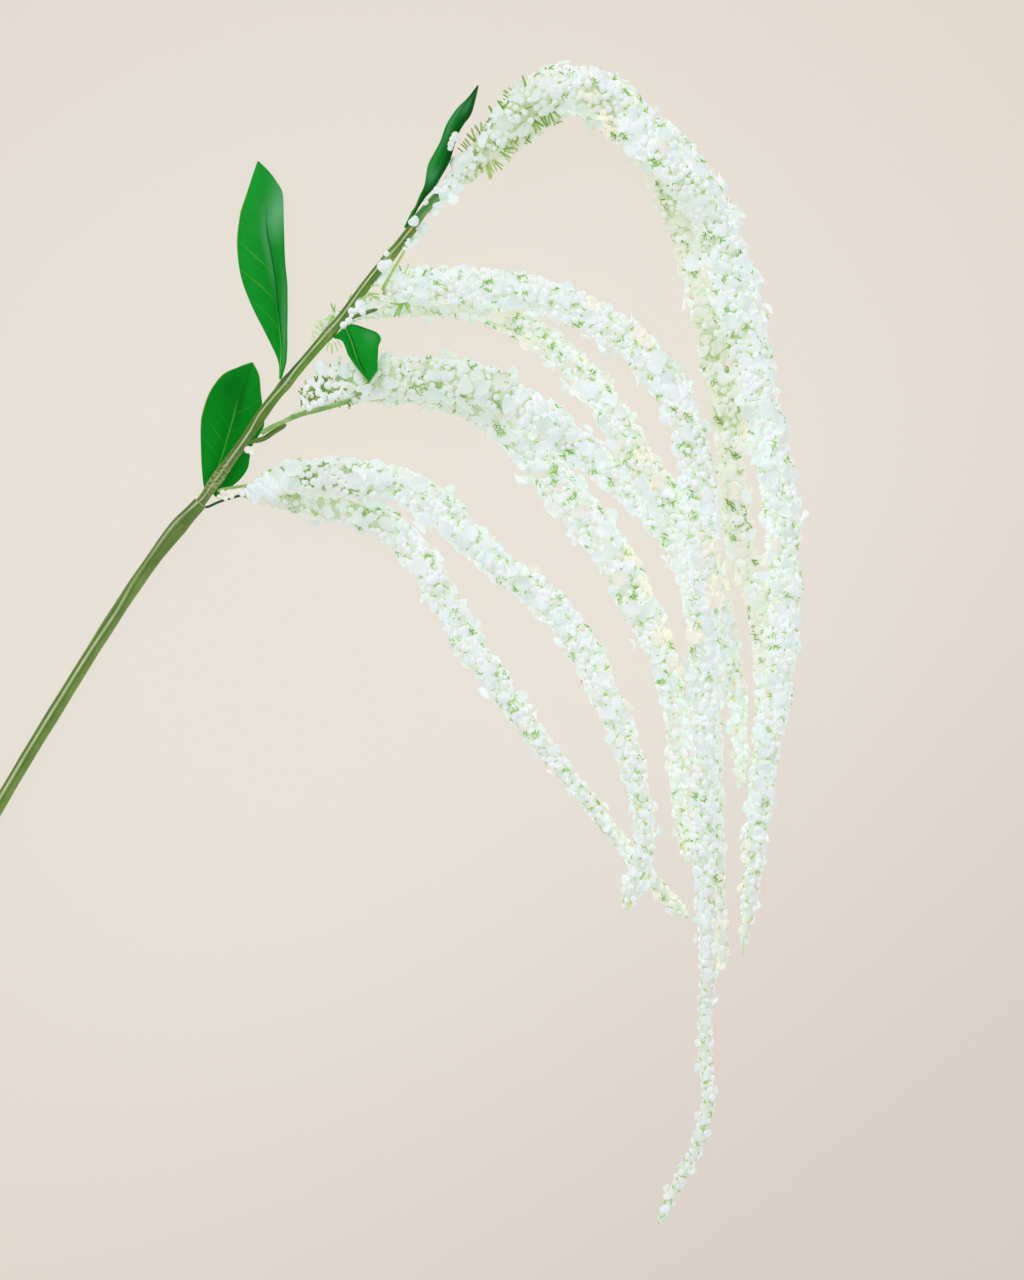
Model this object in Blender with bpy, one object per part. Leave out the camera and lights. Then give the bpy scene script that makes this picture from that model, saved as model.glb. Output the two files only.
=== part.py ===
# Artificial hanging amaranth stem, cut and lying on a flat surface.
# A green plastic stem in two lengths carries four leaves and four sprays, and each spray is
# two drooping tassels of white florets. Metres, +Z up, the surface is z = 0, and the origin
# is under the middle of the whole stem.
import math
import random

import bmesh
import bpy
import numpy as np
from mathutils import Matrix, Vector

MM = 0.001
GAP = 0.3 * MM

# Stem: one centre line from the cut end to the tip, hand-chosen points in millimetres
STEM_LINE = [
    (-217.8, -200.3, 3.2), (-142.2, -70.2, 4.4), (-114.8, -24.8, 5.2), (-89.1, 16.2, 6.4),
    (-72.9, 39.6, 8.2), (-62.2, 53.8, 9.4), (-52.2, 64.5, 10.6), (-47.2, 71.3, 11.3),
    (-34.2, 90.0, 13.2), (-19.8, 110.7, 15.6), (-1.8, 133.2, 18.0), (10.8, 148.1, 19.6),
    (24.8, 165.8, 21.6), (35.6, 178.7, 22.9), (43.2, 188.1, 23.6),
]
MOUTH_POINT = 6
LOWER_RADIUS = 3.05 * MM
KNEE_RADIUS = 3.65 * MM
KNEE_BACK = 14 * MM
COLLAR_LENGTH = 30 * MM
COLLAR_STATIONS = (22 * MM, KNEE_BACK, 7 * MM, 1 * MM, 0.0)
MOUTH_RADIUS = 3.0 * MM
SOCKET_DEPTH = 11 * MM
SOCKET_STATIONS = (1.0, 0.66, 0.33, 0.0)
PLUG_RADIUS = 1.95 * MM
UPPER_RADIUS = 2.45 * MM
SHOULDER_LENGTH = 0.5 * MM
TIP_RADIUS = 2.3 * MM
JOINT_SWELL = 0.45 * MM
JOINTS = (7 * MM, 66 * MM, 97 * MM, 140 * MM)
JOINT_REACH = 5 * MM
WIRE_RADIUS = 1.0 * MM
BORE_RADIUS = 1.4 * MM
WIRE_SHORT = 5 * MM
CUTTER_END = 2 * MM

# Pegs moulded on the upper stem: distance from the mouth, points, radius, all in millimetres,
# and the tassel that the peg's end faces
PEGS = {
    "peg_2": (103, [(17.0, 149.6, 19.6), (26.0, 151.6, 20.0)], 1.2, None),
    "peg_2_low": (99, [(3.0, 142.4, 13.0), (-0.8, 142.2, 8.0), (-0.8, 143.2, 5.9)], 0.9,
                  "tassel_2_lower"),
    "peg_3": (36, [(-25.4, 94.4, 13.8), (-17.6, 98.4, 14.2)], 1.3, "tassel_3_lower"),
    "peg_4": (3, [(-48.9, 64.2, 10.7), (-42.4, 65.5, 10.4)], 0.8, "tassel_4_lower"),
}

# Branch stalks: distance from the mouth and turn round the stem in degrees (0 is the right
# side, 90 the top), points in millimetres, half width, thickness against width, and the tassel
# that the end faces. The first stalk continues the stem's tip and carries two tassels.
STALKS = {
    "stalk_1": (None, [(48.2, 194.6, 24.1), (53.0, 200.0, 24.4), (56.4, 203.2, 24.4)], 2.2, 0.62,
                None),
    "stalk_2": ((148, 0), [(39.2, 174.6, 22.6), (33.4, 166.6, 22.0), (28.6, 162.2, 21.4)], 0.85,
                1.0, "tassel_2_upper"),
    "stalk_3": ((40, 40), [(-14.9, 99.5, 17.9)], 1.25, 1.0, "tassel_3_upper"),
    "stalk_4": ((8, 0), [(-41.6, 70.5, 11.6)], 1.1, 1.0, "tassel_4_upper"),
}
SEAT_RUN = 1.2 * MM
STALK_SIDES_LEVEL = 1

# Tassels: hand-chosen points of the centre line and the outer radius there, in millimetres
TASSELS = {
    "tassel_1_front": [
        (55.8, 204.7, 24.6, 1.6), (58.8, 207.3, 25.2, 2.2), (62.6, 211.1, 25.6, 3.6),
        (68.4, 216.5, 26.0, 4.8), (74.7, 223.2, 26.0, 5.8), (82.8, 231.8, 25.8, 7.0),
        (91.8, 240.3, 25.4, 8.6), (101.5, 246.8, 25.0, 10.2), (111.5, 250.6, 24.6, 10.8),
        (121.5, 250.6, 24.6, 10.9), (130.5, 246.2, 24.2, 10.8), (138.2, 239.0, 23.6, 10.8),
        (153.0, 226.8, 22.6, 10.8), (164.3, 213.8, 21.6, 10.9), (173.7, 201.2, 19.2, 11.0),
        (184.1, 176.9, 16.6, 11.0), (191.3, 150.8, 15.6, 10.9), (195.8, 128.7, 14.8, 10.0),
        (198.4, 112.5, 14.0, 9.2), (204.3, 94.1, 11.6, 9.0), (207.0, 76.5, 9.2, 9.0),
        (209.3, 65.7, 8.8, 8.8), (210.0, 52.2, 8.5, 8.5), (209.9, 36.5, 9.0, 8.2),
        (210.6, 20.7, 13.0, 7.9), (210.0, 6.3, 15.2, 7.5), (209.2, -7.7, 16.2, 7.3),
        (207.4, -23.0, 17.0, 7.1), (203.9, -37.8, 16.8, 6.9), (201.4, -52.7, 14.8, 6.5),
        (200.0, -69.3, 11.0, 6.3), (197.6, -90.5, 6.4, 5.8), (195.3, -113.0, 4.2, 4.4),
        (193.5, -127.8, 3.8, 3.9), (192.2, -139.1, 2.2, 2.2),
    ],
    "tassel_1_back": [
        (58.0, 202.5, 24.1, 1.5), (60.0, 204.2, 23.0, 1.8), (62.8, 206.4, 19.6, 2.4),
        (66.5, 209.8, 15.4, 3.6),
        (73.8, 216.5, 10.6, 5.2), (81.5, 223.2, 7.6, 6.0), (88.7, 227.7, 6.4, 6.2),
        (96.3, 234.0, 6.2, 6.3), (104.0, 239.4, 6.2, 6.3), (113.0, 243.5, 6.2, 6.3),
        (121.5, 243.7, 6.2, 6.3), (129.2, 238.1, 6.2, 6.3), (136.4, 233.1, 6.2, 6.3),
        (144.0, 225.9, 6.2, 6.3), (150.3, 218.7, 6.2, 6.3), (155.7, 208.8, 6.2, 6.4),
        (162.0, 189.9, 6.2, 6.4), (167.0, 176.4, 6.2, 6.5), (171.5, 153.9, 6.4, 6.6),
        (176.4, 141.8, 6.5, 6.7), (178.2, 129.6, 6.6, 6.8), (181.4, 120.6, 6.7, 6.9),
        (185.0, 112.5, 6.8, 7.0), (185.4, 103.1, 6.9, 7.1), (186.3, 92.7, 7.0, 7.2),
        (186.8, 77.9, 7.1, 7.3), (187.2, 65.7, 7.1, 7.3), (189.5, 50.9, 7.0, 7.2),
        (192.6, 37.4, 6.7, 6.9), (197.1, 25.2, 6.3, 6.5), (199.8, 14.0, 6.0, 6.2),
        (201.6, -0.9, 5.6, 5.8), (202.5, -15.3, 5.2, 5.4), (201.6, -33.3, 4.6, 4.8),
        (200.3, -49.1, 3.9, 4.1), (199.8, -61.7, 2.4, 2.4),
    ],
    "tassel_2_upper": [
        (29.7, 158.9, 21.0, 1.9), (32.6, 159.6, 21.0, 4.0), (37.8, 161.1, 21.0, 6.6),
        (46.0, 162.0, 20.8, 8.2), (55.8, 162.0, 20.6, 8.6), (73.8, 161.6, 20.2, 8.6),
        (89.6, 159.8, 20.0, 8.6), (104.0, 156.6, 20.0, 8.5), (123.3, 148.5, 20.8, 8.5),
        (133.2, 142.2, 21.8, 8.6), (143.6, 134.6, 23.6, 8.7), (152.6, 124.2, 26.0, 8.8),
        (161.6, 110.7, 28.8, 8.8), (165.6, 101.7, 30.6, 8.6), (169.2, 88.2, 32.8, 8.3),
        (171.8, 74.7, 34.5, 8.1), (173.5, 47.3, 35.6, 8.0), (173.9, 25.2, 31.5, 7.9),
        (174.2, 5.0, 25.0, 7.6), (174.2, -14.0, 19.5, 7.2), (174.2, -52.7, 17.6, 6.8),
        (174.8, -95.4, 15.0, 6.2), (176.0, -130.1, 11.6, 5.0), (176.2, -147.2, 7.6, 4.3),
        (175.2, -165.2, 4.2, 4.0), (175.6, -187.2, 3.8, 3.9), (176.4, -205.2, 3.7, 3.8),
        (171.9, -223.7, 3.5, 3.6), (162.9, -242.1, 3.3, 3.4), (157.2, -254.0, 2.9, 2.9),
        (154.8, -260.6, 2.0, 2.0),
    ],
    "tassel_2_lower": [
        (1.5, 144.2, 5.4, 2.4), (8.0, 146.6, 5.6, 4.2), (16.5, 149.4, 6.0, 4.6),
        (27.0, 151.6, 6.2, 5.0), (36.0, 152.8, 6.0, 5.4), (51.3, 153.6, 6.2, 6.2),
        (73.8, 152.6, 6.6, 6.8), (91.8, 144.0, 6.8, 7.0), (106.0, 134.9, 7.8, 7.2),
        (120.2, 121.7, 10.0, 7.4), (127.8, 112.0, 12.2, 7.6), (134.6, 102.0, 15.0, 7.8),
        (141.6, 89.5, 18.0, 7.8), (151.2, 75.5, 20.8, 7.5), (162.6, 61.0, 21.3, 6.8),
        (172.2, 44.2, 20.6, 6.3), (179.2, 26.2, 16.5, 6.0), (184.2, 8.5, 10.0, 5.7),
        (187.2, -9.5, 6.2, 5.3), (190.0, -30.2, 4.8, 4.8), (190.9, -45.5, 4.2, 4.3),
        (191.4, -63.0, 2.6, 2.6),
    ],
    "tassel_3_upper": [
        (-6.0, 106.5, 19.2, 2.0), (-3.0, 109.5, 20.0, 5.6), (2.0, 114.0, 21.0, 8.2),
        (14.0, 118.0, 22.6, 9.5), (28.8, 120.6, 24.4, 10.0), (51.3, 120.6, 25.4, 10.0),
        (73.8, 117.0, 26.0, 10.0), (96.3, 105.3, 23.4, 9.5), (114.3, 92.7, 15.0, 8.9),
        (128.0, 82.5, 8.9, 8.3), (144.0, 68.9, 8.2, 8.4), (157.0, 55.8, 8.2, 8.4),
        (165.6, 42.3, 7.9, 8.1), (170.3, 25.2, 6.8, 7.0), (174.0, 2.7, 6.1, 6.3),
        (177.4, -24.3, 5.6, 5.8), (178.9, -69.3, 5.0, 5.2), (180.3, -105.3, 4.4, 4.6),
        (181.6, -122.0, 3.9, 4.1), (182.6, -136.0, 3.6, 3.7),
        (183.6, -144.9, 2.2, 2.2),
    ],
    "tassel_3_lower": [
        (-11.2, 103.0, 14.4, 1.6), (-4.5, 106.0, 10.6, 2.6), (5.0, 110.4, 7.0, 4.4),
        (22.0, 114.2, 5.4, 5.6), (46.8, 114.0, 6.2, 6.4), (64.8, 111.0, 7.4, 7.6),
        (79.3, 104.2, 8.4, 8.6), (91.8, 92.7, 8.8, 9.0), (109.8, 71.1, 8.8, 9.0),
        (122.0, 56.7, 9.0, 9.2), (132.3, 42.7, 9.0, 9.2), (142.2, 25.2, 8.6, 8.9),
        (148.8, 9.5, 7.8, 8.1), (155.3, -4.1, 7.0, 7.2), (159.6, -19.8, 6.4, 6.6),
        (162.0, -35.6, 5.6, 5.8), (163.6, -66.2, 4.2, 4.4), (165.8, -83.7, 3.9, 4.1),
        (167.4, -98.0, 2.4, 2.4),
    ],
    "tassel_4_upper": [
        (-30.2, 72.3, 12.0, 1.8), (-25.0, 73.0, 12.6, 4.0), (-17.0, 74.8, 14.6, 6.6),
        (-7.2, 76.0, 16.2, 8.3), (4.0, 76.4, 17.0, 9.0), (15.3, 75.6, 16.6, 9.2),
        (37.8, 71.9, 11.0, 9.0), (55.8, 61.2, 8.6, 8.8), (69.3, 47.7, 7.9, 8.1),
        (87.3, 32.0, 7.5, 7.7), (103.3, 20.7, 7.5, 7.7), (116.6, 5.0, 7.5, 7.7),
        (126.9, -15.3, 7.5, 7.7), (135.5, -33.3, 8.4, 7.2), (142.7, -53.6, 11.6, 6.3),
        (146.7, -71.6, 14.0, 5.5), (147.6, -87.3, 14.6, 5.3), (144.8, -103.1, 12.0, 5.6),
        (141.6, -113.0, 9.0, 4.6), (139.8, -118.6, 7.8, 2.6),
    ],
    "tassel_4_lower": [
        (-32.8, 67.6, 9.8, 1.2), (-27.0, 67.4, 8.4, 2.8), (-18.0, 66.0, 6.0, 4.2),
        (-7.2, 64.0, 5.4, 5.4), (6.3, 62.0, 6.2, 6.4), (24.3, 57.6, 6.9, 7.1),
        (37.8, 50.2, 7.3, 7.5), (49.1, 36.5, 7.4, 7.6), (58.1, 20.7, 7.3, 7.5),
        (69.3, 0.5, 6.7, 6.9), (80.6, -15.3, 6.5, 6.7), (94.1, -34.2, 5.7, 5.9),
        (109.8, -54.0, 4.9, 5.1), (120.2, -67.0, 4.4, 4.6), (130.5, -80.1, 4.2, 4.4),
        (140.9, -93.6, 3.9, 4.1), (151.2, -105.8, 3.9, 4.1), (162.0, -117.0, 3.6, 3.8),
        (167.6, -122.0, 2.2, 2.2),
    ],
}
BUMPS_ROUND = {"tassel_1_back": 4, "tassel_2_lower": 4, "tassel_4_lower": 4}
BUMPS_ROUND_USUAL = 5
RING_STRETCH = 1.5
RING_STEP_LEAST = 4.7 * MM
PEAK = 1.0
VALLEY = 0.74
PEAK_SCATTER = 0.18
PEAK_SLIDE = 0.5

# Petals stand on florets of the core, and needles stand in whorls and in pairs between them
PETAL_PITCH = 32 * MM
PETAL_LENGTH = 11 * MM
PETAL_THICKNESS = 0.8 * MM
PETAL_TILT = math.radians(20)
PETAL_SINK = 1.3 * MM
PETAL_TRIES = 8
NEEDLE_LENGTH = 6.0 * MM
NEEDLE_WIDTH = 1.1 * MM
NEEDLE_ROOT = 0.6
NEEDLE_WHORLS = {
    "tassel_1_front": (14, 22, 30, 40, 50),
    "tassel_1_back": (12, 22, 32),
    "tassel_2_upper": (8, 22),
    "tassel_2_lower": (3, 12),
    "tassel_3_upper": (8, 22),
    "tassel_4_upper": (12,),
}
NEEDLES_A_WHORL = 6
LONE_NEEDLE_PITCH = 100 * MM
GOLDEN_ANGLE = math.radians(137.508)
CLEARANCE = 0.6 * MM
SPHERE_STEP = 1.5 * MM

# Leaves: distance of the foot from the mouth and its turn round the stem, then the left edge,
# the middle rib and the right edge from foot to tip, in millimetres
LEAVES = {
    "leaf_1": {
        "seat": (7, 262),
        "left": [(-49.5, 70.2, 8.4), (-50.9, 76.5, 6.6), (-51.8, 87.3, 5.0), (-52.1, 99.0, 4.2),
                 (-51.3, 105.3, 4.0), (-47.9, 114.8, 3.8), (-42.1, 122.4, 3.4),
                 (-34.6, 126.0, 3.0), (-29.0, 128.0, 2.6)],
        "rib": [(-48.1, 70.7, 8.4), (-45.0, 78.0, 6.8), (-42.1, 86.4, 5.4), (-38.7, 98.1, 4.6),
                (-37.2, 103.5, 4.4), (-35.2, 111.2, 4.2), (-31.9, 119.7, 3.6),
                (-28.8, 128.0, 2.6)],
        "right": [(-47.2, 69.3, 8.4), (-41.9, 70.7, 7.6), (-37.1, 72.5, 7.0), (-32.4, 76.5, 6.4),
                  (-29.2, 82.8, 6.0), (-26.1, 90.0, 5.8), (-23.4, 99.0, 5.6), (-24.3, 108.9, 5.2),
                  (-25.0, 114.8, 4.8), (-25.7, 122.0, 4.0), (-28.6, 128.0, 2.6)],
    },
    "leaf_2": {
        "seat": (66, 172),
        "left": [(-15.9, 121.0, 15.0), (-16.7, 126.9, 15.2), (-18.9, 133.0, 15.6),
                 (-23.7, 142.6, 15.8), (-28.5, 152.2, 15.2), (-32.7, 162.6, 14.0),
                 (-34.7, 171.5, 12.8), (-35.6, 181.9, 11.2), (-34.4, 193.6, 9.0),
                 (-32.0, 201.8, 7.2), (-26.4, 218.7, 3.4)],
        "rib": [(-15.5, 120.6, 15.0), (-15.5, 133.7, 15.0), (-16.0, 140.5, 14.6),
                (-17.2, 153.0, 13.6), (-18.6, 164.7, 12.2), (-20.2, 175.1, 10.8),
                (-22.5, 187.2, 9.2), (-22.9, 196.2, 7.6), (-24.8, 209.7, 5.4),
                (-26.3, 218.9, 3.4)],
        "right": [(-14.8, 121.0, 15.0), (-14.0, 124.7, 16.0), (-13.1, 129.5, 17.2),
                  (-12.8, 140.5, 18.6), (-12.7, 154.3, 18.8), (-12.8, 162.6, 17.8),
                  (-13.7, 171.5, 16.4), (-14.2, 181.9, 14.8), (-14.6, 195.7, 12.2),
                  (-15.1, 203.9, 10.2), (-17.6, 208.8, 8.6), (-21.0, 213.6, 6.4),
                  (-26.1, 218.7, 3.4)],
    },
    "leaf_3": {
        "seat": (155, 165),
        "left": [(41.0, 189.9, 25.4), (42.8, 194.4, 25.8), (44.8, 197.4, 26.0),
                 (46.5, 201.7, 26.6), (48.9, 206.9, 27.4), (50.4, 215.5, 28.4),
                 (53.0, 220.7, 29.0), (56.0, 226.3, 29.4), (58.5, 233.2, 29.4),
                 (61.2, 237.9, 29.0), (64.6, 242.2, 28.2), (68.5, 246.1, 27.0),
                 (72.8, 251.8, 24.6)],
        "rib": [(41.9, 189.5, 25.4), (43.6, 194.0, 25.8), (45.5, 197.6, 26.0),
                (47.5, 201.6, 26.0), (50.0, 206.6, 25.6), (54.0, 213.8, 25.6),
                (56.0, 218.1, 26.0), (58.1, 223.8, 26.4), (59.9, 228.5, 26.6),
                (62.0, 234.5, 26.6), (64.6, 239.2, 26.2), (67.7, 244.0, 25.6),
                (73.0, 251.9, 24.6)],
        "right": [(42.8, 189.0, 25.4), (44.6, 193.5, 25.8), (46.4, 196.9, 26.0),
                  (49.5, 201.3, 26.8), (53.0, 205.2, 27.8), (56.4, 210.3, 29.0),
                  (59.0, 214.7, 29.8), (60.6, 218.1, 30.2), (62.5, 224.6, 30.6),
                  (64.2, 229.7, 30.6), (66.7, 234.0, 30.0), (69.8, 238.3, 29.0),
                  (71.7, 244.3, 27.4), (73.3, 251.3, 24.6)],
    },
    "leaf_4": {
        "seat": (97, 20),
        "left": [(9.0, 140.2, 20.4), (11.6, 136.4, 25.0), (15.2, 129.7, 31.0),
                 (19.4, 123.5, 36.6), (23.8, 117.8, 43.0)],
        "rib": [(9.7, 141.0, 20.4), (14.2, 141.8, 23.6), (16.4, 139.1, 27.2), (18.9, 133.2, 32.6),
                (21.4, 127.4, 37.4), (24.0, 117.6, 43.0)],
        "right": [(9.7, 141.9, 20.4), (13.6, 143.7, 23.0), (17.8, 144.1, 25.6),
                  (21.9, 142.7, 28.2), (27.6, 140.4, 31.6), (29.5, 137.6, 33.6),
                  (28.5, 134.1, 35.2), (28.1, 128.2, 37.6), (27.9, 123.0, 40.0),
                  (24.4, 117.5, 43.0)],
    },
}
LEAF_STATIONS = 12
LEAF_THICKNESS = 0.9 * MM
RIB_THICKNESS = 1.7 * MM
LEAF_FOOT = 1.1 * MM
LEAF_RISE = 1.1 * MM
LEAF_CAMBER = 0.07

SEEDS = {name: 31 + 7 * number for number, name in enumerate(TASSELS)}


def clear_scene():
    for thing in list(bpy.data.objects):
        bpy.data.objects.remove(thing, do_unlink=True)


def new_collection(name):
    collection = bpy.data.collections.new(name)
    bpy.context.scene.collection.children.link(collection)
    return collection


def paint(thing, colour, roughness, metallic=0.0):
    # A Principled material of its own for one sub-part
    material = bpy.data.materials.new(thing.name + "_finish")
    material.use_nodes = True
    shader = material.node_tree.nodes["Principled BSDF"]
    shader.inputs["Base Color"].default_value = (*colour, 1.0)
    shader.inputs["Roughness"].default_value = roughness
    shader.inputs["Metallic"].default_value = metallic
    material.diffuse_color = (*colour, 1.0)
    thing.data.materials.clear()
    thing.data.materials.append(material)


def smooth_line(points, steps):
    # Catmull-Rom curve through the points; works on any number of columns
    points = np.array(points, dtype=float)
    before = 2 * points[0] - points[1]
    after = 2 * points[-1] - points[-2]
    padded = np.vstack([before, points, after])
    line = []
    for a, b, c, d in zip(padded, padded[1:], padded[2:], padded[3:]):
        for step in range(steps):
            t = step / steps
            line.append(0.5 * (2 * b + (c - a) * t + (2 * a - 5 * b + 4 * c - d) * t * t
                               + (3 * b - a - 3 * c + d) * t ** 3))
    line.append(points[-1])
    return np.array(line)


class Route:
    """A smooth centre line that is read by the distance along it, in metres."""

    STEPS = 24

    def __init__(self, points_mm):
        self.line = smooth_line(points_mm, self.STEPS) * MM
        gaps = np.linalg.norm(np.diff(self.line[:, :3], axis=0), axis=1)
        self.travel = np.concatenate([[0.0], np.cumsum(gaps)])
        self.length = self.travel[-1]

    def read(self, distance):
        # Columns at a distance: x, y, z and the radius if the route has one
        return np.array([np.interp(distance, self.travel, column) for column in self.line.T])

    def point(self, distance):
        return Vector(self.read(distance)[:3])

    def frame(self, distance):
        # Forward, sideways and upward directions
        ahead = self.point(min(distance + 1 * MM, self.length))
        behind = self.point(max(distance - 1 * MM, 0.0))
        forward = (ahead - behind).normalized()
        side = forward.cross(Vector((0, 0, 1))).normalized()
        return forward, side, side.cross(forward)

    def outward(self, distance, angle):
        # The direction across the route at an angle from its right side
        _, side, up = self.frame(distance)
        return side * math.cos(angle) + up * math.sin(angle)

    def distance_of(self, number):
        # Distance along the route of one of the points it was made from
        return self.travel[number * self.STEPS]


def mesh_object(name, mesh, collection):
    thing = bpy.data.objects.new(name, mesh)
    collection.objects.link(thing)
    return thing


def face_outward(mesh):
    shape = bmesh.new()
    shape.from_mesh(mesh)
    bmesh.ops.recalc_face_normals(shape, faces=shape.faces)
    shape.to_mesh(mesh)
    shape.free()


def mesh_from(vertices, faces):
    mesh = bpy.data.meshes.new("shape")
    mesh.from_pydata([tuple(v) for v in vertices], [], faces)
    mesh.update()
    face_outward(mesh)
    return mesh


def tube(name, points, radii, collection, sides_level, flatten=1.0):
    # A round bar along the points: a curve with a bevel and filled caps, then a mesh
    curve = bpy.data.curves.new(name, "CURVE")
    curve.dimensions = "3D"
    curve.bevel_depth = 1.0
    curve.bevel_resolution = sides_level
    curve.use_fill_caps = True
    spline = curve.splines.new("POLY")
    spline.points.add(len(points) - 1)
    for target, point, radius in zip(spline.points, points, radii):
        target.co = (*point, 1.0)
        target.radius = radius
    drawn = bpy.data.objects.new(name + "_curve", curve)
    collection.objects.link(drawn)
    graph = bpy.context.evaluated_depsgraph_get()
    mesh = bpy.data.meshes.new_from_object(drawn.evaluated_get(graph))
    bpy.data.objects.remove(drawn, do_unlink=True)
    shape = bmesh.new()
    shape.from_mesh(mesh)
    bmesh.ops.remove_doubles(shape, verts=shape.verts, dist=0.01 * MM)
    if flatten != 1.0:
        middle = sum((Vector(p) for p in points), Vector()) / len(points)
        for vertex in shape.verts:
            vertex.co.z = middle.z + (vertex.co.z - middle.z) * flatten
    bmesh.ops.recalc_face_normals(shape, faces=shape.faces)
    shape.to_mesh(mesh)
    shape.free()
    return mesh_object(name, mesh, collection)


def round_off(thing, angle=40):
    thing.data.shade_smooth()
    thing.data.set_sharp_from_angle(angle=math.radians(angle))


def fuse(thing, repeats):
    # One union of an object and every object of a collection, applied; repeats are removed
    join = thing.modifiers.new("fuse", "BOOLEAN")
    join.operation = "UNION"
    join.operand_type = "COLLECTION"
    join.collection = repeats
    join.solver = "MANIFOLD"
    graph = bpy.context.evaluated_depsgraph_get()
    mesh = bpy.data.meshes.new_from_object(thing.evaluated_get(graph))
    thing.modifiers.remove(join)
    thing.data = mesh
    for repeat in list(repeats.objects):
        bpy.data.objects.remove(repeat, do_unlink=True)
    bpy.data.collections.remove(repeats)
    keep_one_body(thing.data)


def keep_one_body(mesh):
    # Drops loose scraps, and fills sealed hollows by dropping their walls
    shape = bmesh.new()
    shape.from_mesh(mesh)
    unseen = set(shape.verts)
    bodies = []
    while unseen:
        front = [unseen.pop()]
        body = set(front)
        while front:
            vertex = front.pop()
            for edge in vertex.link_edges:
                other = edge.other_vert(vertex)
                if other in unseen:
                    unseen.discard(other)
                    body.add(other)
                    front.append(other)
        bodies.append(body)
    bodies.sort(key=len)
    scraps = [vertex for body in bodies[:-1] for vertex in body]
    bmesh.ops.delete(shape, geom=scraps, context="VERTS")
    bmesh.ops.triangulate(shape, faces=shape.faces)
    shape.to_mesh(mesh)
    shape.free()


# Stems

def stem_radius(along):
    # Outer radius of the stem by the distance from the socket's mouth
    if along <= 0:
        return float(np.interp(along, (-COLLAR_LENGTH, -KNEE_BACK, -1 * MM, 0.0),
                               (LOWER_RADIUS, KNEE_RADIUS, MOUTH_RADIUS, MOUTH_RADIUS)))
    taper = float(np.interp(along, (0.0, JOINTS[-1]), (UPPER_RADIUS, TIP_RADIUS)))
    swell = max(1 - abs(along - joint) / JOINT_REACH for joint in JOINTS)
    return taper + JOINT_SWELL * max(0.0, swell)


def branch_line(first, points, tassel):
    # A smooth line that starts with a straight run and, where it leads to a tassel, ends with
    # a straight run that stops a gap before the tassel and points along it
    points = [first[1]] + [Vector(p) * MM for p in points]
    last = []
    if tassel is not None:
        start = tassel.point(0.0)
        forward = tassel.frame(0.0)[0]
        points.append(start - forward * (GAP + SEAT_RUN))
        last = [start - forward * GAP]
    return [first[0]] + [Vector(p) for p in smooth_line(points, 2)] + last


def make_stems(route, tassels, parts, cutters):
    # Returns the pegs as centre points with a radius, in metres
    mouth = route.distance_of(MOUTH_POINT)
    lower = list(np.linspace(0, mouth - COLLAR_LENGTH, 9))
    lower += [mouth - back for back in COLLAR_STATIONS]
    body = tube("lower_stem", [route.point(s) for s in lower],
                [stem_radius(s - mouth) for s in lower], parts, sides_level=4)

    bored = list(np.linspace(-CUTTER_END, mouth - SOCKET_DEPTH - WIRE_SHORT + CUTTER_END, 10))
    start_forward = route.frame(0.0)[0]
    bore_points = [route.point(max(s, 0.0)) + start_forward * min(s, 0.0) for s in bored]
    bore = tube("wire_bore", bore_points, [BORE_RADIUS] * len(bored), cutters, sides_level=2)
    socket_forward = route.frame(mouth)[0]
    socket_points = [route.point(mouth - SOCKET_DEPTH * share) for share in SOCKET_STATIONS]
    socket_points.append(route.point(mouth) + socket_forward * CUTTER_END)
    socket = tube("stem_socket", socket_points, [PLUG_RADIUS + GAP] * len(socket_points), cutters,
                  sides_level=4)
    for cutter in (bore, socket):
        cutter.hide_render = True
        cutter.display_type = "WIRE"
        cut = body.modifiers.new(cutter.name, "BOOLEAN")
        cut.operation = "DIFFERENCE"
        cut.object = cutter
    paint(body, (0.112, 0.212, 0.030), 0.42)
    round_off(body)

    wired = list(np.linspace(0.0, mouth - SOCKET_DEPTH - WIRE_SHORT, 10))
    wire = tube("stem_wire", [route.point(s) for s in wired], [WIRE_RADIUS] * len(wired), parts,
                sides_level=2)
    paint(wire, (0.45, 0.45, 0.43), 0.4, 1.0)
    round_off(wire)

    plug = [mouth - SOCKET_DEPTH + GAP]
    plug += [mouth - SOCKET_DEPTH * share for share in SOCKET_STATIONS[1:]]
    shoulder = mouth + GAP + SHOULDER_LENGTH
    shown = {shoulder} | set(np.linspace(mouth, route.length, 9)[1:])
    for joint in JOINTS:
        shown |= {mouth + joint - JOINT_REACH, mouth + joint, mouth + joint + JOINT_REACH}
    shown = sorted(s for s in shown if shoulder <= s <= route.length)
    stations = plug + [mouth + GAP] + shown
    radii = [PLUG_RADIUS] * (len(plug) + 1) + [stem_radius(s - mouth) for s in shown]
    stem = tube("upper_stem", [route.point(s) for s in stations], radii, parts, sides_level=4)
    pegs = new_collection("pegs")
    balls = []
    for name, (start, points, radius, tassel) in PEGS.items():
        inside = route.point(mouth + start * MM)
        toward = (Vector(points[0]) * MM - inside).normalized()
        line = branch_line((inside, inside + toward * SEAT_RUN), points, tassels.get(tassel))
        tube(name, line, [radius * MM] * len(line), pegs, sides_level=1)
        balls += [(*p, radius * MM) for p in line]
    fuse(stem, pegs)
    paint(stem, (0.112, 0.212, 0.030), 0.42)
    round_off(stem)
    return balls


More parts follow.
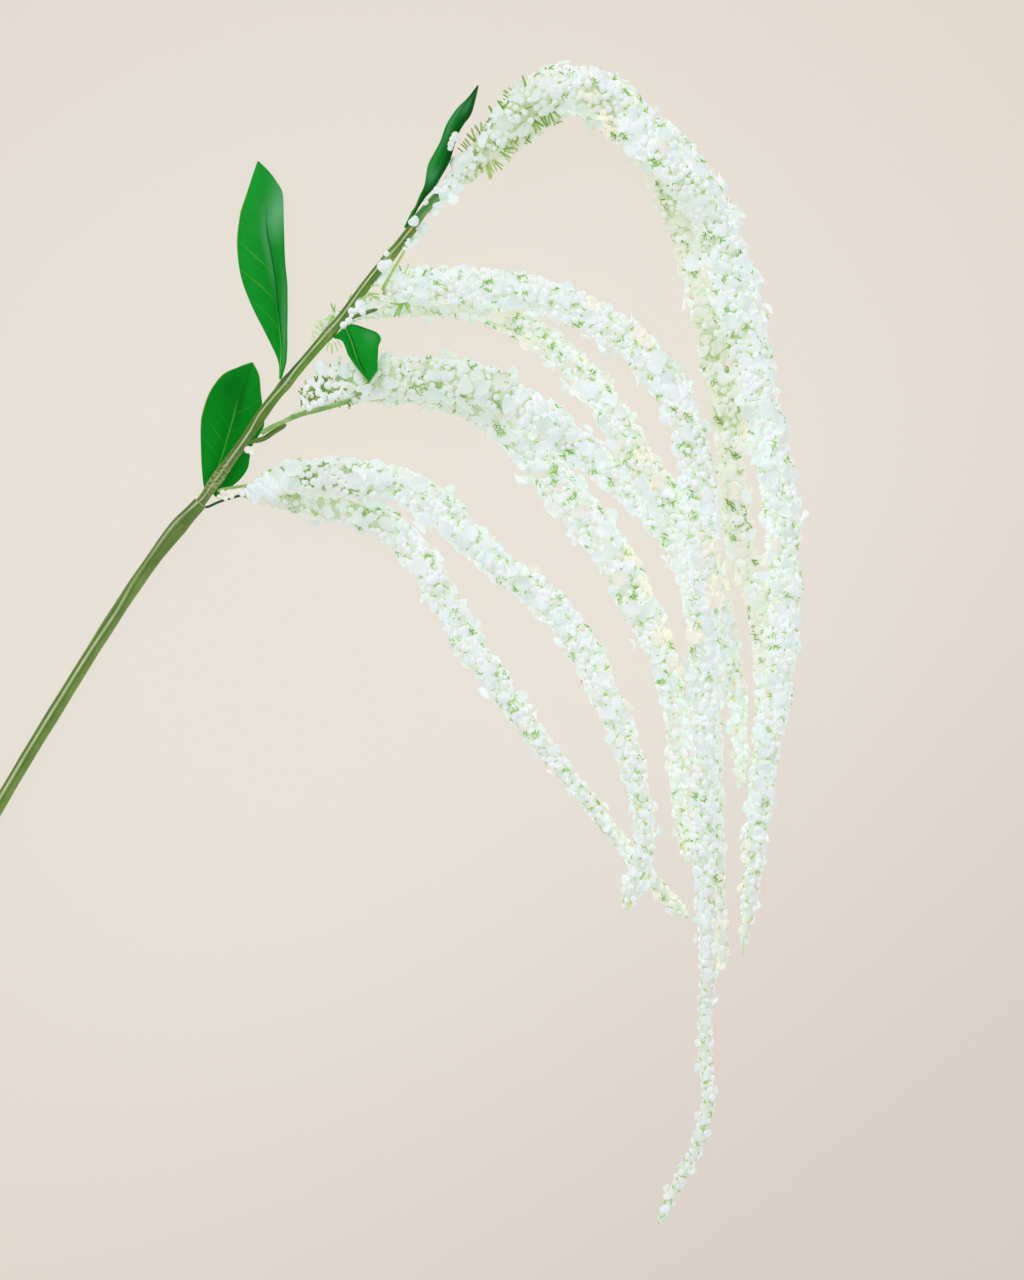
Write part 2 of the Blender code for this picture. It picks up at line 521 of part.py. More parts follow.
def make_stalks(route, tassels, parts):
    # Returns the stalks as centre points with a radius, in metres
    mouth = route.distance_of(MOUTH_POINT)
    balls = []
    for name, (seat, points, half_width, flatten, tassel) in STALKS.items():
        if seat is None:
            away = route.frame(route.length)[0]
            foot = route.point(route.length) + away * GAP
        else:
            along, turn = seat[0] * MM, math.radians(seat[1])
            away = route.outward(mouth + along, turn)
            foot = route.point(mouth + along) + away * (stem_radius(along) + GAP)
        line = branch_line((foot, foot + away * SEAT_RUN), points, tassels.get(tassel))
        stalk = tube(name, line, [half_width * MM] * len(line), parts, STALK_SIDES_LEVEL, flatten)
        paint(stalk, (0.16, 0.42, 0.07), 0.5)
        round_off(stalk)
        balls += [(*p, half_width * MM) for p in line]
    return balls


# Leaves

def even_points(points, count):
    # The smooth line through the points, read at even steps of its length
    line = Route([tuple(p) for p in points])
    return [line.point(s) for s in np.linspace(0, line.length, count)]


def make_leaf(name, plan, route, parts):
    # A thin blade lofted from its two edges and its rib: five columns across, thicker at the rib
    along, turn = plan["seat"][0] * MM, math.radians(plan["seat"][1])
    at = route.distance_of(MOUTH_POINT) + along
    away = route.outward(at, turn)
    foot = route.point(at) + away * (stem_radius(along) + GAP + LEAF_RISE)
    wide = Vector(plan["right"][1]) - Vector(plan["left"][1])
    wide = (wide - away * wide.dot(away)).normalized()
    lines = []
    for line, shift in (("left", -LEAF_FOOT), ("rib", 0.0), ("right", LEAF_FOOT)):
        start = (foot + wide * shift) / MM
        lines.append(even_points([start] + plan[line][1:], LEAF_STATIONS))
    left, rib, right = lines
    top = []
    under = []
    for row in range(LEAF_STATIONS):
        forward = (rib[min(row + 1, LEAF_STATIONS - 1)] - rib[max(row - 1, 0)]).normalized()
        across = (right[row] - left[row]).normalized() if row < LEAF_STATIONS - 1 else across
        up = across.cross(forward).normalized()
        for column, (edge, share) in enumerate(((left, 1), (left, 0.5), (rib, 0), (right, 0.5),
                                                (right, 1))):
            point = rib[row].lerp(edge[row], share)
            if share == 0.5:
                point = point + up * LEAF_CAMBER * (edge[row] - rib[row]).length
            depth = RIB_THICKNESS * (1 - 0.45 * row / LEAF_STATIONS) if share == 0 else LEAF_THICKNESS
            top.append(point + up * LEAF_THICKNESS / 2)
            under.append(point + up * (LEAF_THICKNESS / 2 - depth))
    count = len(top)
    faces = []
    for row in range(LEAF_STATIONS - 1):
        for column in range(4):
            a = row * 5 + column
            b, c, d = a + 1, a + 6, a + 5
            triangles = ((a, b, c), (a, c, d)) if column < 2 else ((a, b, d), (b, c, d))
            faces += triangles
            faces += [tuple(count + v for v in reversed(corner)) for corner in triangles]
    rim = [row * 5 for row in range(LEAF_STATIONS)]
    rim += [(LEAF_STATIONS - 1) * 5 + column for column in range(1, 5)]
    rim += [row * 5 + 4 for row in range(LEAF_STATIONS - 2, -1, -1)]
    rim += [3, 2, 1]
    for a, b in zip(rim, rim[1:] + rim[:1]):
        faces += [(a, b, count + b), (a, count + b, count + a)]
    blade = mesh_object(name, mesh_from(top + under, faces), parts)
    paint(blade, (0.004, 0.235, 0.025), 0.5)
    round_off(blade)
    return [(*point, LEAF_THICKNESS) for point in top]


# Tassels

def bead_core(name, route, rounds, draw, collection):
    # A slim core whose surface is raised into rows of blunt florets, set like brickwork
    slots = 2 * rounds
    stations = [0.0]
    while stations[-1] < route.length:
        radius = route.read(stations[-1])[3]
        stations.append(stations[-1] + max(RING_STRETCH * math.tau * radius / slots,
                                           RING_STEP_LEAST))
    stations = np.array(stations) * route.length / stations[-1]
    vertices = []
    florets = []
    for ring, distance in enumerate(stations):
        forward = route.frame(distance)[0]
        centre = route.point(distance)
        radius = route.read(distance)[3]
        at_end = ring in (0, len(stations) - 1)
        step = stations[min(ring + 1, len(stations) - 1)] - distance
        for slot in range(slots):
            outward = route.outward(distance, math.tau * slot / slots)
            raised = (ring + slot) % 2 == 0
            height = PEAK - PEAK_SCATTER * draw.random() if raised else VALLEY
            slide = PEAK_SLIDE * step if raised and not at_end else 0.0
            point = centre + outward * radius * (0.8 if at_end else height) + forward * slide
            point.z = max(point.z, 0.0)
            vertices.append(point)
            if raised and not at_end:
                florets.append((distance, slot, point, outward, forward))
    faces = []
    for ring in range(len(stations) - 1):
        for slot in range(slots):
            a = ring * slots + slot
            b = ring * slots + (slot + 1) % slots
            c, d = b + slots, a + slots
            if (ring + slot) % 2 == 0:
                faces += [(a, b, d), (b, c, d)]
            else:
                faces += [(a, b, c), (a, c, d)]
    last = (len(stations) - 1) * slots
    vertices.append(route.point(0.0))
    vertices.append(route.point(route.length))
    for slot in range(slots):
        after = (slot + 1) % slots
        faces.append((len(vertices) - 2, after, slot))
        faces.append((len(vertices) - 1, last + slot, last + after))
    return mesh_object(name, mesh_from(vertices, faces), collection), florets


def petal_mesh():
    # A round flake of unit length along +X, cupped a little, with its pointed root at 0
    outline = [(0.0, 0.0, 0.0), (0.40, -0.40, 0.08), (0.88, -0.34, 0.13), (0.88, 0.34, 0.13),
               (0.40, 0.40, 0.08)]
    half = 0.5 * PETAL_THICKNESS / PETAL_LENGTH
    upper = [(x, y, z + half) for x, y, z in outline]
    lower = [(x, y, z - half) for x, y, z in outline]
    faces = []
    for a, b, c in ((0, 1, 4), (1, 2, 4), (2, 3, 4)):
        faces += [(a, b, c), (c + 5, b + 5, a + 5)]
    for a in range(5):
        b = (a + 1) % 5
        faces += [(a, a + 5, b + 5), (a, b + 5, b)]
    return mesh_from(upper + lower, faces)


def needle_mesh():
    # A three-sided needle of unit length along +X, root at 0
    shape = bmesh.new()
    bmesh.ops.create_cone(shape, cap_ends=True, segments=3,
                          radius1=0.5 * NEEDLE_WIDTH / NEEDLE_LENGTH, radius2=0.0, depth=1.0)
    bmesh.ops.remove_doubles(shape, verts=shape.verts, dist=0.0001)
    turn = Matrix.Rotation(math.radians(90), 4, "Y") @ Matrix.Translation((0, 0, 0.5))
    bmesh.ops.transform(shape, matrix=turn, verts=shape.verts)
    mesh = bpy.data.meshes.new("needle")
    shape.to_mesh(mesh)
    shape.free()
    return mesh


def stand(forward, across, root, length, mesh, repeats):
    # Places a repeat with its +X along forward and its +Y along across; returns its points
    normal = forward.cross(across).normalized()
    across = normal.cross(forward).normalized()
    turn = Matrix((forward, across, normal)).transposed().to_4x4()
    place = Matrix.Translation(root) @ turn @ Matrix.Scale(length, 4)
    repeat = mesh_object("repeat", mesh, repeats)
    repeat.matrix_world = place
    return [place @ vertex.co for vertex in mesh.vertices]


def is_clear(points, own, others):
    # True if every point is above the surface and nearer to its own tassel than to any other
    spots = np.array([tuple(p) for p in points])
    if spots[:, 2].min() < 0.1 * MM:
        return False
    near = np.linalg.norm(spots[:, None, :] - own[None, :, :3], axis=2) - own[None, :, 3]
    far = np.linalg.norm(spots[:, None, :] - others[None, :, :3], axis=2) - others[None, :, 3]
    return bool(np.all(far.min(axis=1) - np.maximum(near.min(axis=1), 0.0) > CLEARANCE))


def add_petals(route, florets, own, others, petal, draw, repeats):
    # Petals at even steps of distance, each on the floret nearest to a golden-angle turn
    distance = 6 * MM
    turn = draw.random() * math.tau
    while distance < route.length - 3 * MM:
        for _ in range(PETAL_TRIES):
            aim = route.outward(distance, turn)
            spot, slot, peak, outward, forward = min(
                florets, key=lambda floret: abs(floret[0] - distance) / (4 * MM)
                - 2 * floret[3].dot(aim))
            turn += GOLDEN_ANGLE
            radius = route.read(spot)[3]
            length = min(PETAL_LENGTH, radius + 4 * MM) * (0.88 + 0.24 * draw.random())
            lean = forward * math.cos(PETAL_TILT) + outward * math.sin(PETAL_TILT)
            around = forward.cross(outward)
            lean = (lean + around * (draw.random() - 0.5) * 0.6).normalized()
            spots = stand(lean, around, peak - outward * PETAL_SINK, length, petal, repeats)
            if is_clear(spots[1:5] + spots[6:10], own, others):
                break
            bpy.data.objects.remove(repeats.objects[-1], do_unlink=True)
        distance += PETAL_PITCH * (0.8 + 0.4 * draw.random()) * (0.65 + 0.35 * radius / (10 * MM))


def add_needles(name, route, own, others, needle, draw, repeats):
    places = [(whorl * MM, NEEDLES_A_WHORL) for whorl in NEEDLE_WHORLS.get(name, ())]
    lone = LONE_NEEDLE_PITCH * draw.random()
    while lone < route.length:
        places.append((lone, 2))
        lone += LONE_NEEDLE_PITCH
    for distance, count in places:
        forward = route.frame(distance)[0]
        radius = route.read(distance)[3]
        twist = draw.random() * math.tau
        for number in range(count):
            outward = route.outward(distance, twist + math.tau * number / count
                                    + 0.3 * draw.random())
            aim = (outward + forward * (0.25 + 0.5 * draw.random())).normalized()
            root = route.point(distance) + outward * radius * NEEDLE_ROOT
            length = radius * (1 - NEEDLE_ROOT) + NEEDLE_LENGTH * (0.75 + 0.3 * draw.random())
            spots = stand(aim, forward, root, length, needle, repeats)
            if not is_clear([max(spots, key=lambda p: (p - root).length)], own, others):
                bpy.data.objects.remove(repeats.objects[-1], do_unlink=True)


def make_tassel(name, route, own, others, shapes, parts):
    draw = random.Random(SEEDS[name])
    rounds = BUMPS_ROUND.get(name, BUMPS_ROUND_USUAL)
    core, florets = bead_core(name, route, rounds, draw, parts)
    repeats = new_collection(name + "_repeats")
    add_petals(route, florets, own, others, shapes["petal"], draw, repeats)
    add_needles(name, route, own, others, shapes["needle"], draw, repeats)
    fuse(core, repeats)
    paint(core, (0.86, 0.89, 0.85), 0.55)
    core.data.shade_flat()


def make_all():
    clear_scene()
    parts = new_collection("hanging_amaranth_stem")
    cutters = new_collection("cutters")
    stem = Route(STEM_LINE)
    mouth = stem.distance_of(MOUTH_POINT)
    tassels = {name: Route(points) for name, points in TASSELS.items()}

    # Spheres along every piece keep each tassel's repeats clear of its neighbours
    fixed = [(*stem.point(s), stem_radius(s - mouth)) for s in np.arange(0, stem.length, SPHERE_STEP)]
    fixed += make_stems(stem, tassels, parts, cutters)
    fixed += make_stalks(stem, tassels, parts)
    for name, plan in LEAVES.items():
        fixed += make_leaf(name, plan, stem, parts)
    spheres = {name: np.array([route.read(s) for s in np.arange(0, route.length, SPHERE_STEP)])
               for name, route in tassels.items()}
    shapes = {"petal": petal_mesh(), "needle": needle_mesh()}
    for name, route in tassels.items():
        others = np.vstack([np.array(fixed)] + [spheres[other] for other in spheres if other != name])
        make_tassel(name, route, spheres[name], others, shapes, parts)


make_all()
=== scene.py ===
# Artificial hanging amaranth stem: the looks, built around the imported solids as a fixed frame.
# It follows the stem as it is put together: view, stems, stalks, leaves, then the eight tassels.
import math

import bmesh
import bpy
import numpy as np
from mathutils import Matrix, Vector


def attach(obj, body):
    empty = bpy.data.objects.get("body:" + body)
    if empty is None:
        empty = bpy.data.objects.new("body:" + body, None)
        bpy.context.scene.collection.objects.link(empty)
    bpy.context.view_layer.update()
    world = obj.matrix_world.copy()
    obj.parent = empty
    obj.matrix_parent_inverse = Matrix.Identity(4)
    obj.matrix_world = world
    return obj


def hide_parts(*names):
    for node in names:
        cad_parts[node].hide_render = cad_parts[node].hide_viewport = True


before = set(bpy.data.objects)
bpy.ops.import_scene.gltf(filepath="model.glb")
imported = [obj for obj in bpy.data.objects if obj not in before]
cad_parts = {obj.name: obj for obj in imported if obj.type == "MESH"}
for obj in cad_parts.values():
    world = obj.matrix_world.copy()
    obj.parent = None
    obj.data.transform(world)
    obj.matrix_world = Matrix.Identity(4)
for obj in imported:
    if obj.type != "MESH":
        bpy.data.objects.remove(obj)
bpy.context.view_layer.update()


# The view: the stem lies on a pale warm table under soft daylight, seen from straight above.
# The lens is long and far away, so that everything shows at one scale, as in the picture.

MM = 0.001
PICTURE_CENTRE = (88.2 * MM, 2.7 * MM)
PICTURE_HEIGHT = 576 * MM
CAMERA_FAR = 5.0
FLOWER_LEVEL = 10 * MM
SENSOR = 36.0
SKY_STRENGTH = 0.60
SOFTBOX_SIZE = 1.6
SOFTBOX_POWER = 19.0
SOFTBOX_PLACE = (-0.9, 2.0, 2.5)
FLOOR_SIDE = 30.0
FLOOR_LEVEL = -0.25 * MM
FLOOR_GLOW = 1.045
FLOOR_GLOW_SHARE = 0.9


def colour(red, green, blue):
    # Linear colour of an sRGB colour that is given in steps of 255
    steps = [value / 255 for value in (red, green, blue)]
    return (*(s / 12.92 if s < 0.04 else ((s + 0.055) / 1.055) ** 2.4 for s in steps), 1.0)


def node(tree, kind, settings=None, **inputs):
    # A shader node whose sockets take values or other sockets: by name with _ for spaces, or as i
    # and their number
    made = tree.nodes.new("ShaderNode" + kind)
    for name, value in (settings or {}).items():
        setattr(made, name, value)
    for name, value in inputs.items():
        socket = made.inputs[int(name[1:]) if name[1:].isdigit() else name.replace("_", " ")]
        if isinstance(value, bpy.types.NodeSocket):
            tree.links.new(value, socket)
        else:
            socket.default_value = value
    return made


def mixed(tree, share, first, second):
    # The colour between two colours by a share
    return node(tree, "Mix", {"data_type": "RGBA"}, i0=share, i6=first, i7=second).outputs[2]


def painted(tree, shade, *coats):
    # A colour under coats of others, each given as its share and its colour
    for share, coat in coats:
        shade = mixed(tree, share, shade, coat)
    return shade


def reach(tree, value, low, high, start=0.0, end=1.0):
    # A value stretched softly from one span to another and held inside it
    made = node(tree, "MapRange", {"interpolation_type": "SMOOTHSTEP"}, Value=value, From_Min=low,
                From_Max=high, To_Min=start, To_Max=end)
    return made.outputs[0]


def object_place(tree):
    return node(tree, "TexCoord").outputs["Object"]


scene = bpy.context.scene
scene.view_settings.view_transform = "Standard"

lens = bpy.data.cameras.new("picture_view")
lens.lens = SENSOR * CAMERA_FAR / PICTURE_HEIGHT
lens.sensor_width = SENSOR
lens.clip_start = 0.05
lens.clip_end = 60.0
camera = bpy.data.objects.new("picture_view", lens)
camera.location = (*PICTURE_CENTRE, FLOWER_LEVEL + CAMERA_FAR)
scene.collection.objects.link(camera)
scene.camera = camera

sky = bpy.data.worlds.new("daylight")
sky.use_nodes = True
sky.node_tree.nodes["Background"].inputs["Color"].default_value = colour(250, 251, 255)
sky.node_tree.nodes["Background"].inputs["Strength"].default_value = SKY_STRENGTH
scene.world = sky

softbox = bpy.data.lights.new("softbox", "AREA")
softbox.shape = "DISK"
softbox.size = SOFTBOX_SIZE
softbox.energy = SOFTBOX_POWER
softbox.color = (1.0, 0.992, 0.985)
softbox_stand = bpy.data.objects.new("softbox", softbox)
softbox_stand.location = SOFTBOX_PLACE
softbox_stand.rotation_euler = (-Vector(SOFTBOX_PLACE)).to_track_quat("-Z", "Y").to_euler()
scene.collection.objects.link(softbox_stand)

floor_mesh = bpy.data.meshes.new("floor")
half = FLOOR_SIDE / 2
floor_mesh.from_pydata([(-half, -half, FLOOR_LEVEL), (half, -half, FLOOR_LEVEL),
                        (half, half, FLOOR_LEVEL), (-half, half, FLOOR_LEVEL)], [], [(0, 1, 2, 3)])
floor = bpy.data.objects.new("floor", floor_mesh)
scene.collection.objects.link(floor)

paper = bpy.data.materials.new("warm_table")
paper.use_nodes = True
tree = paper.node_tree
tree.nodes.clear()
place = object_place(tree)
middle = node(tree, "VectorMath", {"operation": "DISTANCE"}, i0=place, i1=(0.03, 0.03, 0.0))
corner = node(tree, "VectorMath", {"operation": "DOT_PRODUCT"}, i0=place, i1=(0.75, -1.0, 0.0))
# The table darkens away from the middle and towards the lower right corner: a painted falloff of the light.
shade = painted(tree, colour(232, 225, 215),
                (reach(tree, middle.outputs["Value"], 0.10, 0.52), colour(223, 213, 203)),
                (reach(tree, corner.outputs["Value"], 0.05, 0.62), colour(213, 204, 197)))
lit = node(tree, "BsdfDiffuse", Color=shade, Roughness=0.5)
glow = node(tree, "Emission", Color=shade, Strength=FLOOR_GLOW)
both = node(tree, "MixShader", i0=FLOOR_GLOW_SHARE, i1=lit.outputs[0], i2=glow.outputs[0])
node(tree, "OutputMaterial", Surface=both.outputs[0])
floor.data.materials.append(paper)


# The lower stem: an olive green plastic tube over a wire, with a mould seam along its left and a
# thicker collar whose pale mouth takes the upper stem. The seam's pale line is a painted highlight
# over its ridge. It is one surface, bore and socket included.

STEM_LINE = [
    (-217.8, -200.3, 3.2), (-142.2, -70.2, 4.4), (-114.8, -24.8, 5.2), (-89.1, 16.2, 6.4), (-72.9, 39.6, 8.2),
    (-61.9, 53.6, 9.4), (-52, 64.5, 10.6), (-47.2, 71.3, 11.3), (-33.8, 90, 13.2), (-19.3, 110.7, 15.6),
    (-0.4, 133.2, 18), (12.5, 148.1, 19.6), (25.7, 165.8, 21.6), (36.5, 178.7, 22.9), (44, 188.1, 23.6)]
MOUTH_POINT = 6
# Radii of the outside in millimetres, by the distance from the mouth
LOWER_RADII = [(-56, 3.05), (-30, 3.35), (-15, 3.95), (-12, 3.8), (-7, 3.3), (-1, 3.05), (0, 3.05)]
MOUTH_RADIUS = 3.05 * MM
SOCKET_RADIUS = 2.25 * MM
SOCKET_DEPTH = 11 * MM
BORE_RADIUS = 1.4 * MM
SIDES = 40
# The seam by the distance from the mouth: its turn round the stem, and how much of its painted highlight shows
SEAM_TURN = [
    (-300, 111), (-120, 110), (-84, 106), (-62, 93), (-45, 118), (-30, 122), (-18, 127), (-8, 123), (-1, 112),
    (4, 97), (21, 96), (40, 97), (48, 117), (56, 106), (66, 92), (74, 108), (110, 108), (120, 112), (137, 107),
    (146, 96), (200, 96)]
SEAM_HIGHLIGHT_SHOWS = [(-70, 1), (-58, 0.65), (-45, 0.32), (-30, 0.38), (-20, 0.75), (0, 0.85), (30, 1)]
SEAM_WIDE = math.radians(19)
SEAM_RISE = 0.16 * MM
PIT_DEPTH = 0.04 * MM


def unit(vectors):
    return vectors / np.linalg.norm(vectors, axis=-1, keepdims=True)


def hump(values, centre, reached, power=2):
    # 1 at the centre, falling away to 0 on both sides
    return np.exp(-((values - centre) / reached) ** power)


def round_turns(count):
    return np.arange(count) * math.tau / count


class Line:
    """A smooth centre line through points in millimetres, read by the distance along it in metres."""

    STEPS = 24

    def __init__(self, points):
        points = np.array(points, float)
        before, after = 2 * points[0] - points[1], 2 * points[-1] - points[-2]
        padded = np.vstack([before, points, after])
        share = np.linspace(0, 1, self.STEPS, endpoint=False)[:, None]
        spans = [0.5 * (2 * b + (c - a) * share + (2 * a - 5 * b + 4 * c - d) * share ** 2
                        + (3 * b - a - 3 * c + d) * share ** 3)
                 for a, b, c, d in zip(padded, padded[1:], padded[2:], padded[3:])]
        self.line = np.vstack([*spans, points[-1:]]) * MM
        steps = np.linalg.norm(np.diff(self.line[:, :3], axis=0), axis=1)
        self.travel = np.concatenate([[0], steps.cumsum()])
        self.length = self.travel[-1]

    def columns(self, along, count):
        return np.stack([np.interp(along, self.travel, column) for column in self.line.T[:count]], axis=-1)

    def read(self, along):
        # The columns at distances along the line, and straight on past its ends: x, y, z and the
        # radius if there is one
        along = np.asarray(along, float)
        inside = np.clip(along, 0, self.length)
        found = self.columns(inside, 4)
        found[..., :3] += self.ahead(inside) * (along - inside)[..., None]
        return found

    def ahead(self, along):
        behind, before = (self.columns(np.clip(along + step, 0, self.length), 3) for step in (-MM, MM))
        return unit(before - behind)

    def outward(self, along, turn):
        # The direction across the line at a turn from its right, towards its top
        forward = self.ahead(along)
        right = unit(np.cross(forward, (0, 0, 1)))
        return right * np.cos(turn)[..., None] + np.cross(right, forward) * np.sin(turn)[..., None]

    def off(self, along, turn, far):
        # The place that far from the line, at a turn round it
        return self.read(along)[..., :3] + self.outward(along, turn) * far[..., None]

    def distance_of(self, number):
        return self.travel[number * self.STEPS]


def swept(line, along, radii, sides, rise=None):
    # Rings round a line, one for each distance and radius; rise adds to the radius by ring and turn
    turns = round_turns(sides)
    radii = radii[:, None] + (0 if rise is None else rise(along[:, None], turns))
    grid = np.broadcast_to(along[:, None], (len(along), sides))
    return line.off(grid, np.broadcast_to(turns, grid.shape), radii)


def ring_faces(rings, sides, looped=False):
    # Quads between rings, either joined back to the first ring or closed by a cap at each end
    faces = []
    for ring in range(rings if looped else rings - 1):
        after = (ring + 1) % rings
        for side in range(sides):
            beside = (side + 1) % sides
            faces.append((ring * sides + side, ring * sides + beside, after * sides + beside,
                          after * sides + side))
    if not looped:
        faces.append(tuple(range(sides)))
        faces.append(tuple(range(rings * sides - 1, (rings - 1) * sides - 1, -1)))
    return faces


def closed_mesh(name, points, faces):
    # A mesh of one closed surface, or several, with its faces turned outward
    mesh = bpy.data.meshes.new(name)
    mesh.from_pydata(np.asarray(points, float).reshape(-1, 3).tolist(), [], faces)
    shape = bmesh.new()
    shape.from_mesh(mesh)
    bmesh.ops.recalc_face_normals(shape, faces=shape.faces)
    shape.to_mesh(mesh)
    shape.free()
    return mesh


def placed(mesh, material, sharp=None):
    # The object of a mesh, smooth but for edges of more than so many degrees
    mesh.shade_smooth()
    if sharp is not None:
        mesh.set_sharp_from_angle(angle=math.radians(sharp))
    mesh.materials.append(material)
    piece = bpy.data.objects.new(mesh.name, mesh)
    scene.collection.objects.link(piece)
    return piece


def marked(piece, **marks):
    # Numbers for the points of a piece, or one for all of them, which its material reads by label
    for label, values in marks.items():
        values = np.broadcast_to(np.ravel(values), len(piece.data.vertices)).astype(np.float32)
        piece.data.attributes.new(label, "FLOAT", "POINT").data.foreach_set("value", values)


def read_mark(tree, label):
    return node(tree, "Attribute", {"attribute_name": label}).outputs["Fac"]


def maths(tree, operation, first, second=0.0):
    return node(tree, "Math", {"operation": operation}, i0=first, i1=second).outputs[0]


def product(tree, first, *others):
    for other in others:
        first = maths(tree, "MULTIPLY", first, other)
    return first


def noise(tree, place, scale, detail):
    return node(tree, "TexNoise", Vector=place, Scale=scale, Detail=detail).outputs[0]


def shared_effect(name, inputs, outputs):
    # A node group whose inputs start at the numbers given, or take a vector where there is none
    group = bpy.data.node_groups.new(name, "ShaderNodeTree")
    for label, start in inputs.items():
        kind = "NodeSocketVector" if start is None else "NodeSocketFloat"
        socket = group.interface.new_socket(label, in_out="INPUT", socket_type=kind)
        if start is not None:
            socket.default_value = start
    for label in outputs:
        group.interface.new_socket(label, in_out="OUTPUT", socket_type="NodeSocketFloat")
    return group, group.nodes.new("NodeGroupInput").outputs, group.nodes.new("NodeGroupOutput").inputs


# Moulded grain, shared by every plastic: cloudy patches for colour and wear, fine pits for bump
grain, given, result = shared_effect(
    "moulded_grain", {"Place": None, "Patch Scale": 60.0, "Pit Scale": 1400.0}, ("Patches", "Pits"))
patches = noise(grain, given["Place"], given["Patch Scale"], 3.0)
grain.links.new(reach(grain, patches, 0.3, 0.7), result["Patches"])
grain.links.new(noise(grain, given["Place"], given["Pit Scale"], 2.0), result["Pits"])


def new_finish(name, patch_scale, pit_scale, roughness, bump, specular=0.5):
    # A material with the moulded grain, its Principled shader and a bump from the fine pits
    finish = bpy.data.materials.new(name)
    finish.use_nodes = True
    tree = finish.node_tree
    shader = tree.nodes["Principled BSDF"]
    texture = node(tree, "Group", {"node_tree": grain}, Place=object_place(tree), Patch_Scale=patch_scale,
                   Pit_Scale=pit_scale)
    rough = reach(tree, texture.outputs["Patches"], 0.0, 1.0, roughness - 0.06, roughness + 0.08)
    tree.links.new(rough, shader.inputs["Roughness"])
    shader.inputs["Specular IOR Level"].default_value = specular
    pitted = node(tree, "Bump", Strength=bump, Distance=PIT_DEPTH, Height=texture.outputs["Pits"])
    tree.links.new(pitted.outputs[0], shader.inputs["Normal"])
    return finish, tree, shader, texture.outputs["Patches"]


def coloured(tree, shader, shade, glow=0.0):
    # The shader in a colour, and perhaps with a faint glow of the same colour
    tree.links.new(shade, shader.inputs["Base Color"])
    if glow:
        tree.links.new(shade, shader.inputs["Emission Color"])
        shader.inputs["Emission Strength"].default_value = glow


stem_plastic, tree, shader, patches = new_finish("olive_stem_plastic", 90.0, 900.0, 0.42, 0.35)
place = object_place(tree)
height = node(tree, "SeparateXYZ", Vector=place).outputs["Y"]
aside = read_mark(tree, "aside")
worn = read_mark(tree, "worn")
stretched = node(tree, "CombineXYZ", X=product(tree, aside, 0.11), Y=product(tree, height, 45.0)).outputs[0]
streaks = noise(tree, stretched, 1.0, 2.0)
# Darker bands on both sides of the seam: painted shade beside its highlight
left_shade_band = product(tree, reach(tree, aside, 12.0, 20.0), reach(tree, aside, 30.0, 52.0, 0.7, 0.0))
right_shade_band = product(tree, reach(tree, aside, -20.0, -13.0, 1.0, 0.0),
                     reach(tree, aside, -44.0, -24.0, 0.0, 0.55))
scales = noise(tree, place, 820.0, 1.0)
rubbed = product(tree, worn, reach(tree, scales, 0.4, 0.5, 1.0, 0.0))
# The seam's pale line: a painted highlight over its ridge, rubbed away where the stem is worn
seam = product(tree, reach(tree, maths(tree, "ABSOLUTE", aside), 5.0, 13.5, 1.0, 0.0), read_mark(tree, "seam"),
               maths(tree, "SUBTRACT", 1.0, rubbed))
olive = painted(
    tree, mixed(tree, patches, colour(114, 150, 52), colour(138, 174, 76)),
    (reach(tree, height, 0.025, 0.05), mixed(tree, patches, colour(94, 128, 38), colour(118, 152, 60))),
    (reach(tree, height, 0.08, 0.13), mixed(tree, patches, colour(106, 154, 36), colour(134, 180, 60))),
    (reach(tree, streaks, 0.5, 0.66, 0.0, 0.4), colour(88, 118, 44)),
    (maths(tree, "ADD", left_shade_band, right_shade_band), colour(76, 108, 34)),
    # The painted highlight along the seam
    (seam, colour(214, 230, 182)),
    (product(tree, worn, reach(tree, scales, 0.44, 0.6)), colour(184, 192, 128)),
    (read_mark(tree, "rim"), colour(214, 214, 160)),
    # The deep green of some pegs, and painted shade by the feet of leaf 2 and leaf 4
    (read_mark(tree, "deep"), colour(26, 84, 40)),
    (read_mark(tree, "glue"), colour(232, 168, 48)))
coloured(tree, shader, olive)

stem_line = Line(STEM_LINE)
mouth = stem_line.distance_of(MOUTH_POINT)
lumps = np.random.default_rng(5).uniform(0, math.tau, 5)


def seam_turn(along):
    # The seam wanders round the stem as it was bent
    return np.radians(np.interp((along - mouth) / MM, *zip(*SEAM_TURN)))


def stem_rise(along, turns):
    # The seam ridge, the wandering thickness and the fine dents of the coating
    seam = SEAM_RISE * hump(turns, seam_turn(along), 0.5 * SEAM_WIDE)
    wander = (0.07 * np.sin(along / (9 * MM) + 2 * turns + lumps[0])
              + 0.05 * np.sin(along / (3.7 * MM) + lumps[1]))
    flats = 0.06 * np.cos(3 * turns + lumps[2] + along / (60 * MM))
    return seam + (wander + flats) * MM


def seam_highlight_share(along):
    # How much of the seam's pale line, a painted highlight, shows
    wander = 0.8 + 0.2 * np.sin(along / (7 * MM) + lumps[3]) * np.sin(along / (2.9 * MM) + lumps[4])
    return wander * np.interp((along - mouth) / MM, *zip(*SEAM_HIGHLIGHT_SHOWS))


def seam_aside(along, sides):
    # Degrees round the stem from the seam, more towards its left, for each point of its rings
    turns = round_turns(sides) - seam_turn(along[:, None])
    return np.degrees((turns + math.pi) % math.tau - math.pi).ravel()


